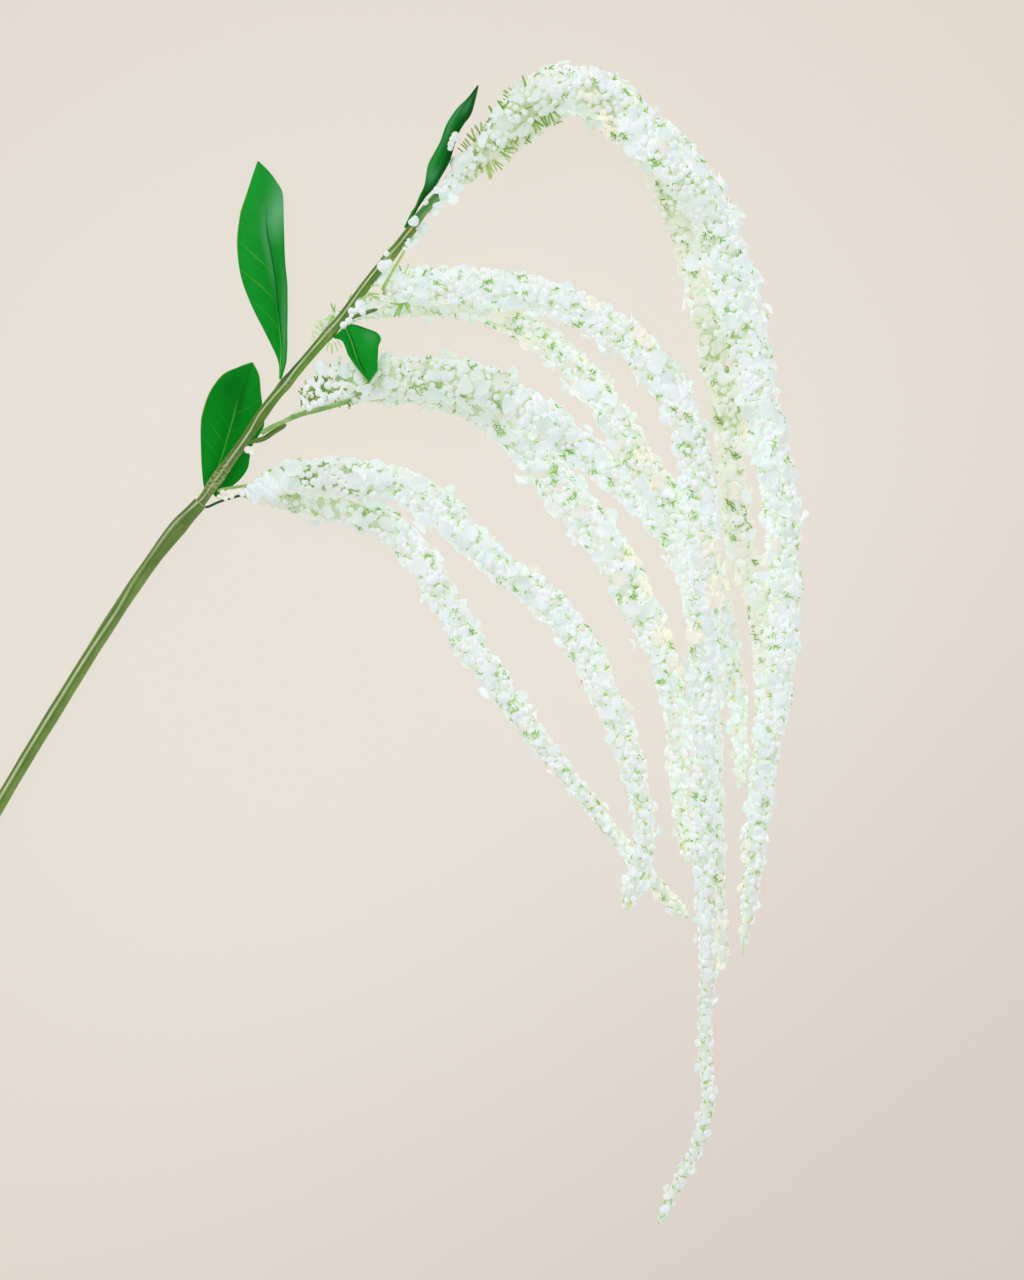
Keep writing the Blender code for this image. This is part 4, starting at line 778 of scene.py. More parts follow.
# The tassels' centre lines: x, y, z and radius in millimetres
TASSELS = {
    "tassel_1_front": [
        (55.8, 204.7, 24.6, 1.6), (58.8, 207.3, 25.2, 2.2), (62.6, 211.1, 25.6, 3.6), (68.4, 216.5, 26, 4.8),
        (74.7, 223.2, 26, 5.8), (82.8, 231.8, 25.8, 7), (91.8, 240.3, 25.4, 8.6), (101.5, 246.8, 25, 10.2),
        (111.5, 250.6, 24.6, 10.8), (121.5, 250.6, 24.6, 10.9), (130.5, 246.2, 24.2, 10.8),
        (138.2, 239, 23.6, 10.8), (153, 226.8, 22.6, 10.8), (164.3, 213.8, 21.6, 10.9),
        (173.7, 201.2, 19.2, 11), (184.1, 176.9, 16.6, 11), (191.3, 150.8, 15.6, 10.9),
        (195.8, 128.7, 14.8, 10), (198.4, 112.5, 14, 9.2), (204.3, 94.1, 11.6, 9), (207, 76.5, 9.2, 9),
        (209.3, 65.7, 8.8, 8.8), (210, 52.2, 8.5, 8.5), (209.9, 36.5, 9, 8.2), (210.6, 20.7, 13, 7.9),
        (210, 6.3, 15.2, 7.5), (209.2, -7.7, 16.2, 7.3), (207.4, -23, 17, 7.1), (203.9, -37.8, 16.8, 6.9),
        (201.4, -52.7, 14.8, 6.5), (200, -69.3, 11, 6.3), (197.6, -90.5, 6.4, 5.8), (195.3, -113, 4.2, 4.4),
        (194.2, -122, 3.9, 3.4), (193.2, -129, 3.6, 2.2), (192.6, -134.5, 2.6, 1.4)],
    "tassel_1_back": [
        (58, 202.5, 24.1, 1.5), (60, 204.2, 23, 1.8), (62.8, 206.4, 19.6, 2.4), (66.5, 209.8, 15.4, 3.6),
        (73.8, 216.5, 10.6, 5.2), (81.5, 223.2, 7.6, 6), (88.7, 227.7, 6.4, 6.2), (96.3, 234, 6.2, 6.3),
        (104, 239.4, 6.2, 6.3), (113, 243.5, 6.2, 6.3), (121.5, 243.7, 6.2, 6.3), (129.2, 238.1, 6.2, 6.3),
        (136.4, 233.1, 6.2, 6.3), (144, 225.9, 6.2, 6.3), (150.3, 218.7, 6.2, 6.3), (155.7, 208.8, 6.2, 6.4),
        (162.4, 189.9, 6.2, 6.4), (168.2, 176.4, 6.3, 6.5), (173.2, 153.9, 6.5, 6.7), (177.2, 141.8, 6.6, 6.8),
        (178.2, 129.6, 6.6, 6.8), (181.4, 120.6, 6.7, 6.9), (185, 112.5, 6.8, 7), (185.4, 103.1, 6.9, 7.1),
        (186.3, 92.7, 7, 7.2), (186.8, 77.9, 7.1, 7.3), (187.2, 65.7, 7.1, 7.3), (189.5, 50.9, 7, 7.2),
        (192.6, 37.4, 6.7, 6.9), (197.1, 25.2, 6.3, 6.5), (199.8, 14, 6, 6.2), (201.6, -0.9, 5.6, 5.8),
        (202.5, -15.3, 5.2, 5.4), (201.6, -33.3, 4.6, 4.8), (200.3, -49.1, 3.9, 4.1),
        (199.8, -61.7, 2.4, 2.4)],
    "tassel_2_upper": [
        (29.7, 158.9, 21, 1.9), (32.6, 159.6, 21, 4), (37.8, 161.1, 21, 6.6), (46, 162, 20.8, 8.2),
        (55.8, 162, 20.6, 8.6), (73.8, 161.6, 20.2, 8.6), (89.6, 159.8, 20, 8.6), (104, 156.6, 20, 8.5),
        (123.3, 148.5, 20.8, 8.5), (133.2, 142.2, 21.8, 8.6), (143.6, 134.6, 23.6, 8.7),
        (152.6, 124.2, 26, 8.8), (161.6, 110.7, 28.8, 8.8), (165.6, 101.7, 30.6, 8.6),
        (169.2, 88.2, 32.8, 8.3), (171.8, 74.7, 34.5, 8.1), (173.5, 47.3, 35.6, 8), (173.9, 25.2, 31.5, 7.9),
        (174.2, 5, 25, 7.6), (174.2, -14, 19.5, 7.2), (174.2, -52.7, 17.6, 6.8), (174.8, -95.4, 15, 6.2),
        (176, -130.1, 11.6, 5), (176.2, -147.2, 7.6, 4.3), (175.2, -165.2, 4.2, 4), (175.6, -187.2, 3.8, 3.9),
        (176.4, -205.2, 3.7, 3.8), (171.9, -223.7, 3.5, 3.6), (162.9, -242.1, 3.3, 3.4),
        (157.2, -254, 2.9, 2.9), (154.8, -260.6, 2, 2)],
    "tassel_2_lower": [
        (1.5, 144.2, 5.4, 2.4), (8, 146.6, 5.6, 4.2), (16.5, 149.4, 6, 4.6), (27, 151.6, 6.2, 5),
        (36, 152.8, 6, 5.4), (51.3, 153.6, 6.2, 6.2), (73.8, 152.6, 6.6, 6.8), (91.8, 144, 6.8, 7),
        (106, 134.9, 7.8, 7.2), (120.2, 121.7, 10, 7.4), (127.8, 112, 12.2, 7.6), (134.6, 102, 15, 7.8),
        (141.6, 89.5, 18, 7.8), (151.2, 75.5, 20.8, 7.5), (162.6, 61, 21.3, 6.8), (172.2, 44.2, 20.6, 6.3),
        (179.2, 26.2, 16.5, 6), (184.2, 8.5, 10, 5.7), (187.2, -9.5, 6.2, 5.3), (190, -30.2, 4.8, 4.8),
        (190.9, -45.5, 4.2, 4.3), (191.4, -63, 2.6, 2.6)],
    "tassel_3_upper": [
        (-6, 106.5, 19.2, 2), (-3, 109.5, 20, 5.6), (2, 114, 21, 8.2), (14, 118, 22.6, 9.5),
        (28.8, 120.6, 24.4, 10), (51.3, 120.6, 25.4, 10), (73.8, 117, 26, 10), (96.3, 105.3, 23.4, 9.5),
        (114.3, 92.7, 15, 8.9), (128, 82.5, 8.9, 8.3), (144, 68.9, 8.2, 8.4), (157, 55.8, 8.2, 8.4),
        (165.6, 42.3, 7.9, 8.1), (170.3, 25.2, 6.8, 7), (174, 2.7, 6.1, 6.3), (177.4, -24.3, 5.6, 5.8),
        (178.9, -69.3, 5, 5.2), (180.3, -105.3, 4.4, 4.6), (181.6, -122, 3.9, 4.1), (182.6, -136, 3.6, 3.7),
        (183.6, -144.9, 2.2, 2.2)],
    "tassel_3_lower": [
        (-11.2, 103, 14.4, 1.6), (-4.5, 106, 10.6, 2.6), (5, 110.4, 7, 4.4), (22, 114.2, 5.4, 5.6),
        (46.8, 114, 6.2, 6.4), (64.8, 111, 7.4, 7.6), (79.3, 104.2, 8.4, 8.6), (91.8, 92.7, 8.8, 9),
        (109.8, 71.1, 8.8, 9), (122, 56.7, 9, 9.2), (132.3, 42.7, 9, 9.2), (142.2, 25.2, 8.6, 8.9),
        (148.8, 9.5, 7.8, 8.1), (155.3, -4.1, 7, 7.2), (159.6, -19.8, 6.4, 6.6), (162, -35.6, 5.6, 5.8),
        (163.6, -66.2, 4.2, 4.4), (165.8, -83.7, 3.9, 4.1), (167.4, -98, 2.4, 2.4)],
    "tassel_4_upper": [
        (-30.2, 72.3, 12, 1.8), (-25, 73, 12.6, 4), (-17, 74.8, 14.6, 6.6), (-7.2, 76, 16.2, 8.3),
        (4, 76.4, 17, 9), (15.3, 75.6, 16.6, 9.2), (37.8, 71.9, 11, 9), (55.8, 61.2, 8.6, 8.8),
        (69.3, 47.7, 7.9, 8.1), (87.3, 32, 7.5, 7.7), (103.3, 20.7, 7.5, 7.7), (116.6, 5, 7.5, 7.7),
        (126.9, -15.3, 7.5, 7.7), (135.5, -33.3, 8.4, 7.2), (142.7, -53.6, 11.6, 6.3), (146.7, -71.6, 14, 5.5),
        (147.6, -87.3, 14.6, 5.3), (144.8, -103.1, 12, 5.6), (141.6, -113, 9, 4.6), (139.8, -118.6, 7.8, 2.6)],
    "tassel_4_lower": [
        (-32.8, 67.6, 9.8, 1.2), (-27, 67.4, 8.4, 2.8), (-18, 66, 6, 4.2), (-7.2, 64, 5.4, 5.4),
        (6.3, 62, 6.2, 6.4), (24.3, 57.6, 6.9, 7.1), (37.8, 50.2, 7.3, 7.5), (49.1, 36.5, 7.4, 7.6),
        (58.1, 20.7, 7.3, 7.5), (69.3, 0.5, 6.7, 6.9), (80.6, -15.3, 6.5, 6.7), (94.1, -34.2, 5.7, 5.9),
        (109.8, -54, 4.9, 5.1), (120.2, -67, 4.4, 4.6), (130.5, -80.1, 4.2, 4.4), (140.9, -93.6, 3.9, 4.1),
        (151.2, -105.8, 3.9, 4.1), (162, -117, 3.6, 3.8), (167.6, -122, 2.2, 2.2)],
}
# The florets: the skin that each has to itself in square millimetres, their size and least spacing in
# millimetres, and how many places are tried for each that is kept
BEAD_EVERY = 13.5
BEAD_RADIUS = (1.45, 1.9)
BEAD_SPACING = 2.6
BEAD_TRIES = 3.0
PETAL_EVERY = 38.0
PETAL_LENGTH = (6.2, 8.6)
PETAL_SPACING = 4.6
PETAL_THICKNESS = 0.28
PETAL_TRIES = 1.6
COMB_EVERY = 31.0
COMB_LENGTH = (2.7, 5.0)
# How deep they sit in the tassel in millimetres: anywhere, and on top of that out of or in the tufts
BEAD_SINKS = (-0.5, 0.5)
BEAD_SINKS_OUTSIDE = (0.9, 1.9)
PETAL_SINKS = (-1.1, 1.2)
PETAL_SINKS_IN_TUFTS = (1.0, 2.2)
COMB_SINKS = (0.8, 2.6)
# How far beads may press into other tassels and how far petals stay clear of them, how far petals
# lean over, how many of them lie face down and how many combs stand outside the tufts
BEAD_PRESS = 0.6 * MM
PETAL_CLEAR = 0.2 * MM
PETAL_LEAN = math.radians(38)
PETALS_TURNED = 0.3
STRAY_COMBS = 0.08
NEEDLE_LEAN = -8
TUFT_SPAN = 12.5 * MM
DROP_RADIUS = 0.75 * MM
DROP_RISE = 0.9 * MM
CORE_SHARE = 0.74
CORE_SIDES = 14
CORE_STEP = 2.4 * MM
CORE_UNEVEN = (-0.14, 0.12)
# The radius from which on a tassel's florets have their full size and sink in fully
FULL_RADIUS = 8 * MM
# The faint glow of the florets, needles and strand in their own colour is painted light that lifts their shade
GLOW = 0.2
FILM_ALPHA = 0.84
TABLE_CLEAR = 0.05 * MM
# In millimetres from a tassel's start: where its petals begin, where its strand is bare, and where
# long needles stand, with their number and how far they reach
PETALS_FROM = {"tassel_1_front": 2, "tassel_1_back": 6, "tassel_2_upper": 4, "tassel_2_lower": 18,
               "tassel_3_upper": 20, "tassel_4_upper": 1, "tassel_4_lower": 1}
BARE = {"tassel_1_front": (0, 10), "tassel_2_lower": (8, 26), "tassel_3_upper": (0, 36),
        "tassel_4_upper": (16, 64)}
NEEDLE_ZONES = {"tassel_1_front": (10, 60, 10), "tassel_2_upper": (3, 26, 14), "tassel_2_lower": (6, 20, 12),
                "tassel_3_upper": (2, 24, 44), "tassel_4_upper": (14, 22, 4)}
NEEDLE_REACH = {"tassel_3_upper": (1.4, 2.8), "tassel_4_upper": (0.3, 1.4)}
# How olive the needles are at the start and how far that goes, and what share of the florets is cream
OLIVE = {"tassel_1_front": (0.5, 100), "tassel_1_back": (0.7, 900), "tassel_3_upper": (1.0, 46)}
CREAM = {"tassel_1_back": 0.8, "tassel_2_lower": 0.3, "tassel_3_lower": 0.2, "tassel_4_lower": 0.1}
CREAM_GAIN = 2.2
# Places where florets are cream: x, y and reach in millimetres; and small drops of glue
CREAM_PLACES = [
    (184, -110, 9), (185, -128, 9), (184, -142, 8), (176, 46, 8), (181, 24, 9), (167, 4, 9), (150, 27, 7),
    (156, 4, 6), (143, 41, 6), (132, -10, 5), (147, 140, 7), (126, 155, 5), (92, 137, 6), (81, 147, 5),
    (147, 85, 6), (157, -112, 7), (190, -94, 6), (131, 234, 6), (122, 246, 5)]
GLUE_DROPS = {
    "tassel_2_upper": [(171.8, 10.2), (174.1, -56.1)],
    "tassel_2_lower": [(151.7, 70.6), (188.1, -16.7), (188.1, -24.4), (189.1, -38)],
    "tassel_4_lower": [(149.4, -104.1)],
    "tassel_4_upper": [(144.2, -73.3), (141.2, -116.6), (141.2, -42.2)],
    "tassel_1_front": [(196.8, -62.8), (194.4, -124.4)],
    "tassel_3_lower": [(165.2, -91)],
}
# Single florets that stand apart round the joints: beads as x, y, z and radius, how many of them are
# cream, petals as x, y, z of their middle, heading, lean and length, all in millimetres and degrees
LONE_BEADS = {
    "tassel_4_upper": [
        (-42.1, 69.5, 11.2, 1.45), (-43.5, 67.2, 9.8, 1.3), (-40.7, 66.5, 9.6, 1.5), (-39.1, 69.4, 11.2, 1.5),
        (-38, 67.4, 10.2, 1.4), (-36.4, 69.3, 11, 1.3), (-34.7, 69.9, 11.2, 1.35), (-33.2, 68.4, 10.6, 1.4),
        (-31.6, 70, 11.2, 1.5)],
    "tassel_3_upper": [(-30.6, 88.3, 14.6, 1.8), (-28.6, 86.7, 14, 1.5), (-28.9, 88.6, 13.4, 1.3)],
    "tassel_2_upper": [
        (12.6, 144, 23.6, 1.8), (15, 145.8, 24, 1.9), (16.2, 150.3, 23.2, 1.8), (19.1, 151, 22.6, 1.8),
        (21.2, 149.8, 24.6, 1.7), (16.4, 148.4, 22.6, 1.5), (31.9, 176, 25.2, 1.45), (41.2, 180.5, 24.4, 1.3),
        (40, 178.2, 24.2, 1.2), (42.6, 178.9, 23.6, 1.3), (41.6, 182.4, 24.4, 1.1), (27.4, 151.4, 22.2, 1.8),
        (30.2, 153, 21.6, 1.8), (33.8, 153.9, 20.6, 1.7), (28.4, 149.8, 21.2, 1.8), (32.4, 150.3, 19.6, 1.7)],
    "tassel_1_front": [
        (62.8, 228.8, 32.4, 1.8), (60.9, 224.8, 32, 1.7), (61.7, 227, 32.6, 1.7), (63.9, 227, 30.6, 1.5),
        (60.5, 223, 31.8, 1.3), (54, 205.2, 26.4, 1.7), (56.2, 207, 27, 1.7), (58.5, 204.8, 26.6, 1.6),
        (60.3, 207.9, 28, 1.7), (62.6, 206.1, 26, 1.7)],
}
LONE_CREAM = {"tassel_4_upper": 7, "tassel_3_upper": 3}
LONE_PETALS = {
    "tassel_1_front": [
        (44.1, 190.6, 26.9, 58, 4, 5.2), (49.4, 198.9, 27, 40, 6, 2.8), (54.5, 205.7, 26.6, 60, 20, 6),
        (58.5, 203, 25.6, -30, -25, 6), (61.2, 209.2, 28.4, 120, 15, 7), (63.9, 216, 29.6, 100, 10, 8.4),
        (68, 218.7, 31, 30, 10, 7.6), (53.1, 195.3, 23.5, -50, 10, 5.4), (48.6, 186.8, 22, -60, 10, 6.2),
        (58, 202.6, 27.6, 20, 34, 6.4), (61.4, 200.4, 27, -40, -32, 6), (55.2, 196.8, 25.6, -60, 38, 5.6),
        (53, 194, 24.2, -10, -28, 5), (64.6, 205.2, 28, 10, 36, 6.4), (41.9, 181.3, 20.6, -120, 20, 4.6),
        (57.1, 200.7, 24.4, -20, 20, 5.2)],
    "tassel_2_upper": [
        (31.3, 170.6, 26.6, 30, 4, 7.4), (29.8, 164.8, 22.6, 70, 10, 6.6), (38.6, 166.8, 21, -70, 8, 6),
        (44.8, 182, 23, 80, 12, 4.6), (20.2, 153.5, 24.6, 60, 15, 6), (22.5, 151.7, 23.6, 20, 20, 5.4),
        (34.2, 168.8, 24.6, -60, 15, 6), (26.2, 154.3, 23.4, 80, 20, 6)],
    "tassel_2_lower": [(1.2, 141.4, 9, 150, -10, 3.4), (4.6, 144.6, 9.6, 120, -10, 3.2)],
    "tassel_3_upper": [(2.6, 124.6, 28.4, 100, 8, 7.4)],
    "tassel_4_upper": [
        (-28.6, 71.2, 15.6, 150, 10, 5.4), (-27.4, 66.4, 12, -80, 20, 5.4), (-21.4, 74.1, 20.4, 130, 10, 6.6),
        (-20.6, 68.8, 19, -30, 12, 7.4), (-24.8, 71.8, 18.6, 170, 10, 6.4), (-18.4, 65.6, 15, -70, 25, 6.2),
        (-29.5, 68.4, 13, -140, 15, 4.6), (-13.8, 73.5, 24.4, 60, 8, 7.2), (-16.6, 70.6, 22.4, 0, 8, 6.6)],
}
# Needles that stand out one by one: the level, then x, y, heading and length
LONE_NEEDLES = {
    "tassel_1_front": (26.5, [
        (67.2, 220.8, 142, 4.6), (69.2, 221.7, 138, 5.5), (71, 222.2, 125, 7), (73.3, 224.5, 135, 7.9),
        (71.9, 226.7, 109, 6.3), (74.8, 228.1, 120, 6.8), (74.9, 228.4, 95, 7.1), (79.5, 228.2, 103, 4),
        (87.9, 242.4, 162, 6.6), (87.2, 240.3, 148, 4.1), (87.6, 242.6, 138, 4.8), (87.9, 244.9, 145, 4.8),
        (89.8, 247.5, 135, 4.6), (94.5, 249.4, 103, 5.1), (72.2, 215.9, -90, 6.6), (73.7, 215.8, -72, 4.1),
        (76.7, 215.8, -77, 7.2), (77.5, 216.9, -78, 7.8), (77.9, 216.7, -65, 5.4), (79.3, 217.8, -67, 5.6),
        (80.6, 217, -48, 5.1), (79.9, 218.3, -35, 5.7), (84, 220.6, -48, 4.8), (82.9, 221.8, -33, 6),
        (84.6, 222.2, -16, 5.4), (85.3, 223.9, -13, 6.2), (84.3, 222.8, 8, 5.3), (97.7, 236.5, -80, 7.4),
        (98.5, 235.8, -60, 5.8), (97.5, 236.4, -36, 6.5), (100.8, 237.9, -61, 6.4), (102.3, 238.5, -69, 6.1),
        (104.5, 239.1, -83, 6.1), (104.9, 240, -69, 6.1), (104.2, 241.6, -40, 8.1), (103.1, 242, -32, 6.5),
        (93.8, 238.4, -36, 5.2)]),
    "tassel_2_upper": (23.5, [
        (19.2, 155, 33, 5), (20.7, 154, 52, 6.2), (21.9, 156.7, 23, 4.7), (23.7, 158.7, -39, 4.2),
        (24.2, 158.3, -7, 4.9), (25, 157.4, -18, 4.2), (25.9, 156.8, -27, 3.9), (19.6, 156.5, -31, 4),
        (23.3, 158.3, -59, 4), (24.6, 161.5, 8, 4.5), (40.2, 163.9, 61, 5.3), (42.7, 164.9, -45, 5.1),
        (46.3, 162.6, 45, 6.2), (46.3, 161.5, 61, 5.8), (41.5, 155.1, 141, 4.2), (38.6, 153, 169, 5.8),
        (39, 154.7, -118, 8.5), (39.6, 154, -113, 6.9), (41, 154.8, -75, 6.2)]),
    "tassel_3_upper": (35, [
        (42, 115.4, 20, 4.2), (43.6, 115, 70, 3.4), (44.6, 115.6, -60, 3.6), (46, 116, 30, 3.8),
        (47, 116.4, -80, 3.4), (41.2, 114.8, -110, 3.6), (45, 115.8, 100, 3), (48.4, 117, 10, 3.2)]),
    "tassel_2_lower": (8, [
        (1.4, 140.1, 111, 5.5), (2.7, 141.2, 130, 4.8), (3.4, 141.3, 109, 5.9), (4.5, 142.7, 124, 4.5),
        (6.7, 143.4, 114, 5.6), (6.7, 144.1, 99, 5.7), (7.7, 145.3, 106, 4.6), (8.8, 146.1, 102, 5.6),
        (9.3, 146.5, 104, 4.1), (-0.6, 138.1, 112, 3.8), (20.1, 161.3, 180, 3.2), (20.2, 160.8, 124, 3.1),
        (21.7, 161.8, 135, 2.8), (5.8, 137, -104, 4.6), (7, 136.4, -88, 5.4), (8.4, 136.8, -72, 4.8),
        (9.6, 137.6, -60, 4), (4.4, 143.2, 138, 5.2), (2.2, 139.6, 150, 4.6), (0.6, 137, 162, 3.6)]),
}
# The bare wire end of tassel_1_front: x, y, z, heading, lean and length
WIRE_END = (192.7, -127.0, 4.4, -93, 2, 13.6)


def stitched(first, second):
    # Triangles between two rings whose counts may differ
    faces, i, j = [], 0, 0
    while i < len(first) or j < len(second):
        a, b = first[i % len(first)], second[j % len(second)]
        if j == len(second) or (i < len(first) and (i + 1) / len(first) <= (j + 1) / len(second)):
            faces.append((a, first[(i + 1) % len(first)], b))
            i += 1
        else:
            faces.append((a, second[(j + 1) % len(second)], b))
            j += 1
    return faces


def fan(centre, ring):
    return [(centre, corner, ring[(k + 1) % len(ring)]) for k, corner in enumerate(ring)]


def closed_shape(points, faces):
    # The points and outward triangles of a small closed shape that is repeated many times
    mesh = closed_mesh("repeat", points, faces)
    shape = np.array([v.co for v in mesh.vertices]), np.array([face.vertices for face in mesh.polygons])
    bpy.data.meshes.remove(mesh)
    return shape


def bead_shape():
    # A foam bead of radius 1: finest on its outer half (+Z), where it shows
    points, rings = [], []
    for count, fall in ((1, 0.0), (6, 36.0), (10, 76.0), (8, 124.0), (1, 180.0)):
        radius, height = math.sin(math.radians(fall)), math.cos(math.radians(fall))
        rings.append(list(range(len(points), len(points) + count)))
        points += [(radius * math.cos(turn), radius * math.sin(turn), height) for turn in round_turns(count)]
    faces = fan(0, rings[1])
    for first, second in zip(rings[1:], rings[2:-1]):
        faces += stitched(first, second)
    return closed_shape(points, faces + fan(rings[-1][0], rings[-2]))


def petal_shape(draw, thin):
    # A round petal of length 1 along +X with a narrow root at 0, cupped and a little wavy
    cup = draw.uniform(0.5, 1.1)
    curl = draw.uniform(-0.10, 0.22)
    wave = draw.uniform(0, math.tau)
    narrow = draw.uniform(0.43, 0.52)

    def sheet_points(share, count):
        turn = round_turns(count)
        edge = 1 + 0.05 * np.sin(3 * turn + wave)
        x = 0.5 + 0.5 * share * np.cos(turn) * edge
        y = narrow * share * np.sin(turn) * edge * (0.92 + 0.08 * np.cos(turn))
        z = -cup * y ** 2 * 1.6 - curl * (x - 0.35) ** 2 + 0.02 * share ** 2 * np.sin(2 * turn + wave)
        return np.stack([x, y, z], axis=1)

    outer, inner = 16, 8
    layer = np.vstack([sheet_points(1.0, outer), sheet_points(0.55, inner), sheet_points(0.0, 1)])
    rim, ring, count = list(range(outer)), list(range(outer, outer + inner)), len(layer)
    faces = stitched(rim, ring) + fan(count - 1, ring)
    under = [tuple(v + count for v in face[::-1]) for face in faces]
    edge = [(k, (k + 1) % outer, (k + 1) % outer + count) for k in rim]
    edge += [(k, (k + 1) % outer + count, k + count) for k in rim]
    lower = layer - np.array([0, 0, thin])
    lower[:outer, :2] = (lower[:outer, :2] - [0.5, 0]) * 0.985 + [0.5, 0]
    return closed_shape(np.vstack([layer, lower]), faces + under + edge)


def spike(start, middle, end, radius):
    # A thin three-sided needle that bends at its middle and ends in a point
    way = np.array(end) - np.array(start)
    side = unit(np.cross(way, (0.31, 0.17, 0.93)))
    other = unit(np.cross(way, side))
    points = [np.array(centre) + radius * (side * math.cos(turn) + other * math.sin(turn))
              for centre in (start, middle) for turn in round_turns(3)]
    faces = [(0, 2, 1)]
    for k in range(3):
        after = (k + 1) % 3
        faces += [(k, after, after + 3), (k, after + 3, k + 3), (k + 3, after + 3, 6)]
    return [*points, np.array(end)], faces


# How much of the tip's colour the seven points of a needle have, in a comb and where it stands alone
COMB_TIPS = [0, 0, 0, 0.6, 0.6, 0.6, 1]
LONE_TIPS = [0.4, 0.4, 0.4, 1, 1, 1, 1]


def comb_shape(draw):
    # A comb of length 1: a green spine along +X with short blunt needles to both sides
    parts = [spike((0, 0, -0.03), (0.7, 0.02, 0.02), (1, draw.uniform(-0.1, 0.1), 0.0), 0.06)]
    for number in range(4):
        at = 0.06 + 0.22 * number + draw.uniform(-0.04, 0.04)
        side = (1 if number % 2 else -1) * draw.uniform(0.8, 1.2)
        aim = np.array([0.5, side, draw.uniform(0.05, 0.7)])
        aim *= draw.uniform(0.42, 0.72) / np.linalg.norm(aim)
        root = np.array([at, 0, 0.0])
        parts.append(spike(root, root + aim * 0.6 + [0, 0, 0.04], root + aim, 0.085))
    points, faces = [], []
    for part_points, part_faces in parts:
        faces += [tuple(v + len(points) for v in face) for face in part_faces]
        points += part_points
    return closed_shape(points, faces)


def spaced(places, least):
    # Numbers of the places that stay at least a distance from every place kept before
    cells, kept = {}, []
    around = [(dx, dy, dz) for dx in (-1, 0, 1) for dy in (-1, 0, 1) for dz in (-1, 0, 1)]
    keys = np.floor(places / least).astype(int).tolist()
    for number, (place, (x, y, z)) in enumerate(zip(places.tolist(), keys)):
        near = [other for dx, dy, dz in around for other in cells.get((x + dx, y + dy, z + dz), ())]
        if all(math.dist(place, other) >= least for other in near):
            cells.setdefault((x, y, z), []).append(place)
            kept.append(number)
    return np.array(kept)


class Repeats:
    """Copies of small closed shapes that become one mesh."""

    def __init__(self):
        self.points, self.faces, self.count = [], [], 0

    def add(self, shape, places, axes, sizes):
        # axes holds each copy's +X, +Y and +Z as rows; copies are lifted clear of the table
        points = places[:, None, :] + np.einsum("nj,cjk->cnk", shape[0], axes) * sizes[:, None, None]
        points[:, :, 2] += np.maximum(TABLE_CLEAR - points[:, :, 2].min(axis=1), 0)[:, None]
        starts = self.count + np.arange(len(points))[:, None, None] * len(shape[0])
        self.points.append(points.reshape(-1, 3))
        self.faces.append((shape[1][None] + starts).reshape(-1, 3))
        self.count += points.shape[0] * points.shape[1]

    def add_kinds(self, shapes, kinds, kept, places, axes, sizes):
        # The kept copies, each in the shape that its kind says
        for which, shape in enumerate(shapes):
            chosen = kept[kinds[kept] == which]
            self.add(shape, places[chosen], axes[chosen], sizes[chosen])

    def add_apart(self, shapes, rows, share):
        # Copies placed one by one: x, y, z, heading, lean down and length; share is how far along
        # its length a copy's place is
        for number, (x, y, z, heading, lean, long) in enumerate(rows):
            heading, lean = math.radians(heading), math.radians(lean)
            ahead = np.array([math.cos(heading) * math.cos(lean), math.sin(heading) * math.cos(lean),
                              -math.sin(lean)])
            beside = np.array([-math.sin(heading), math.cos(heading), 0.0])
            self.add(shapes[number % len(shapes)], (np.array([[x, y, z]]) - ahead * long * share) * MM,
                     np.stack([ahead, beside, np.cross(ahead, beside)])[None], np.array([long * MM]))

    def all_points(self):
        return np.vstack(self.points)

    def piece(self, name, material, sharp=None):
        mesh = bpy.data.meshes.new(name)
        mesh.from_pydata(self.all_points(), [], np.vstack(self.faces))
        return placed(mesh, material, sharp)


def axes_from(forward, outward):
    # Axes with +X along forward as nearly as +Z along outward allows
    across = unit(np.cross(outward, forward))
    return np.stack([np.cross(across, outward), across, outward], axis=1)


def turned_by(angle, first, second):
    # Directions turned from the first ones towards the second ones
    return first * np.cos(angle)[:, None] + second * np.sin(angle)[:, None]


def strewn(line, count, draw, start=0.0):
    # Distances and turns spread evenly over the tassel's skin
    steps = np.linspace(start, line.length, 800)
    share = np.concatenate([[0], np.cumsum(line.read(steps)[1:, 3])])
    along = np.interp(draw.uniform(0, share[-1], count), share, steps)
    return along, draw.uniform(0, math.tau, count)


def skin(line, along, turn, ripple):
    # The outer radius with the soft swelling and thinning of a hand-bent tassel
    swell = np.sin(along / (11 * MM) + ripple[0] + turn) * np.sin(along / (6.3 * MM) + ripple[1] - 2 * turn)
    return line.read(along)[..., 3] * (1 + 0.09 * swell)


def tuft_field(places, number):
    # High where beads stand in a tuft on a tassel's skin, low where petals lie over them
    draw = np.random.default_rng(900 + number)
    waves = unit(draw.normal(0, 1, (6, 3))) * (math.tau / (TUFT_SPAN * draw.uniform(0.8, 1.4, (6, 1))))
    return np.sin(places @ waves.T + draw.uniform(0, math.tau, 6)).sum(axis=1) / math.sqrt(3)


def between_tufts(tuft):
    # 0 in a tuft, 1 away from it
    return 1 - np.clip((tuft + 0.5) / 0.8, 0, 1)


def sinking(draw, outer, spread, share, more):
    # How deep florets sit in the tassel, and by how much more where the share is high
    deep = draw.uniform(*spread, len(outer)) + share * draw.uniform(*more, len(outer))
    return deep * MM * np.minimum(outer / FULL_RADIUS, 1)
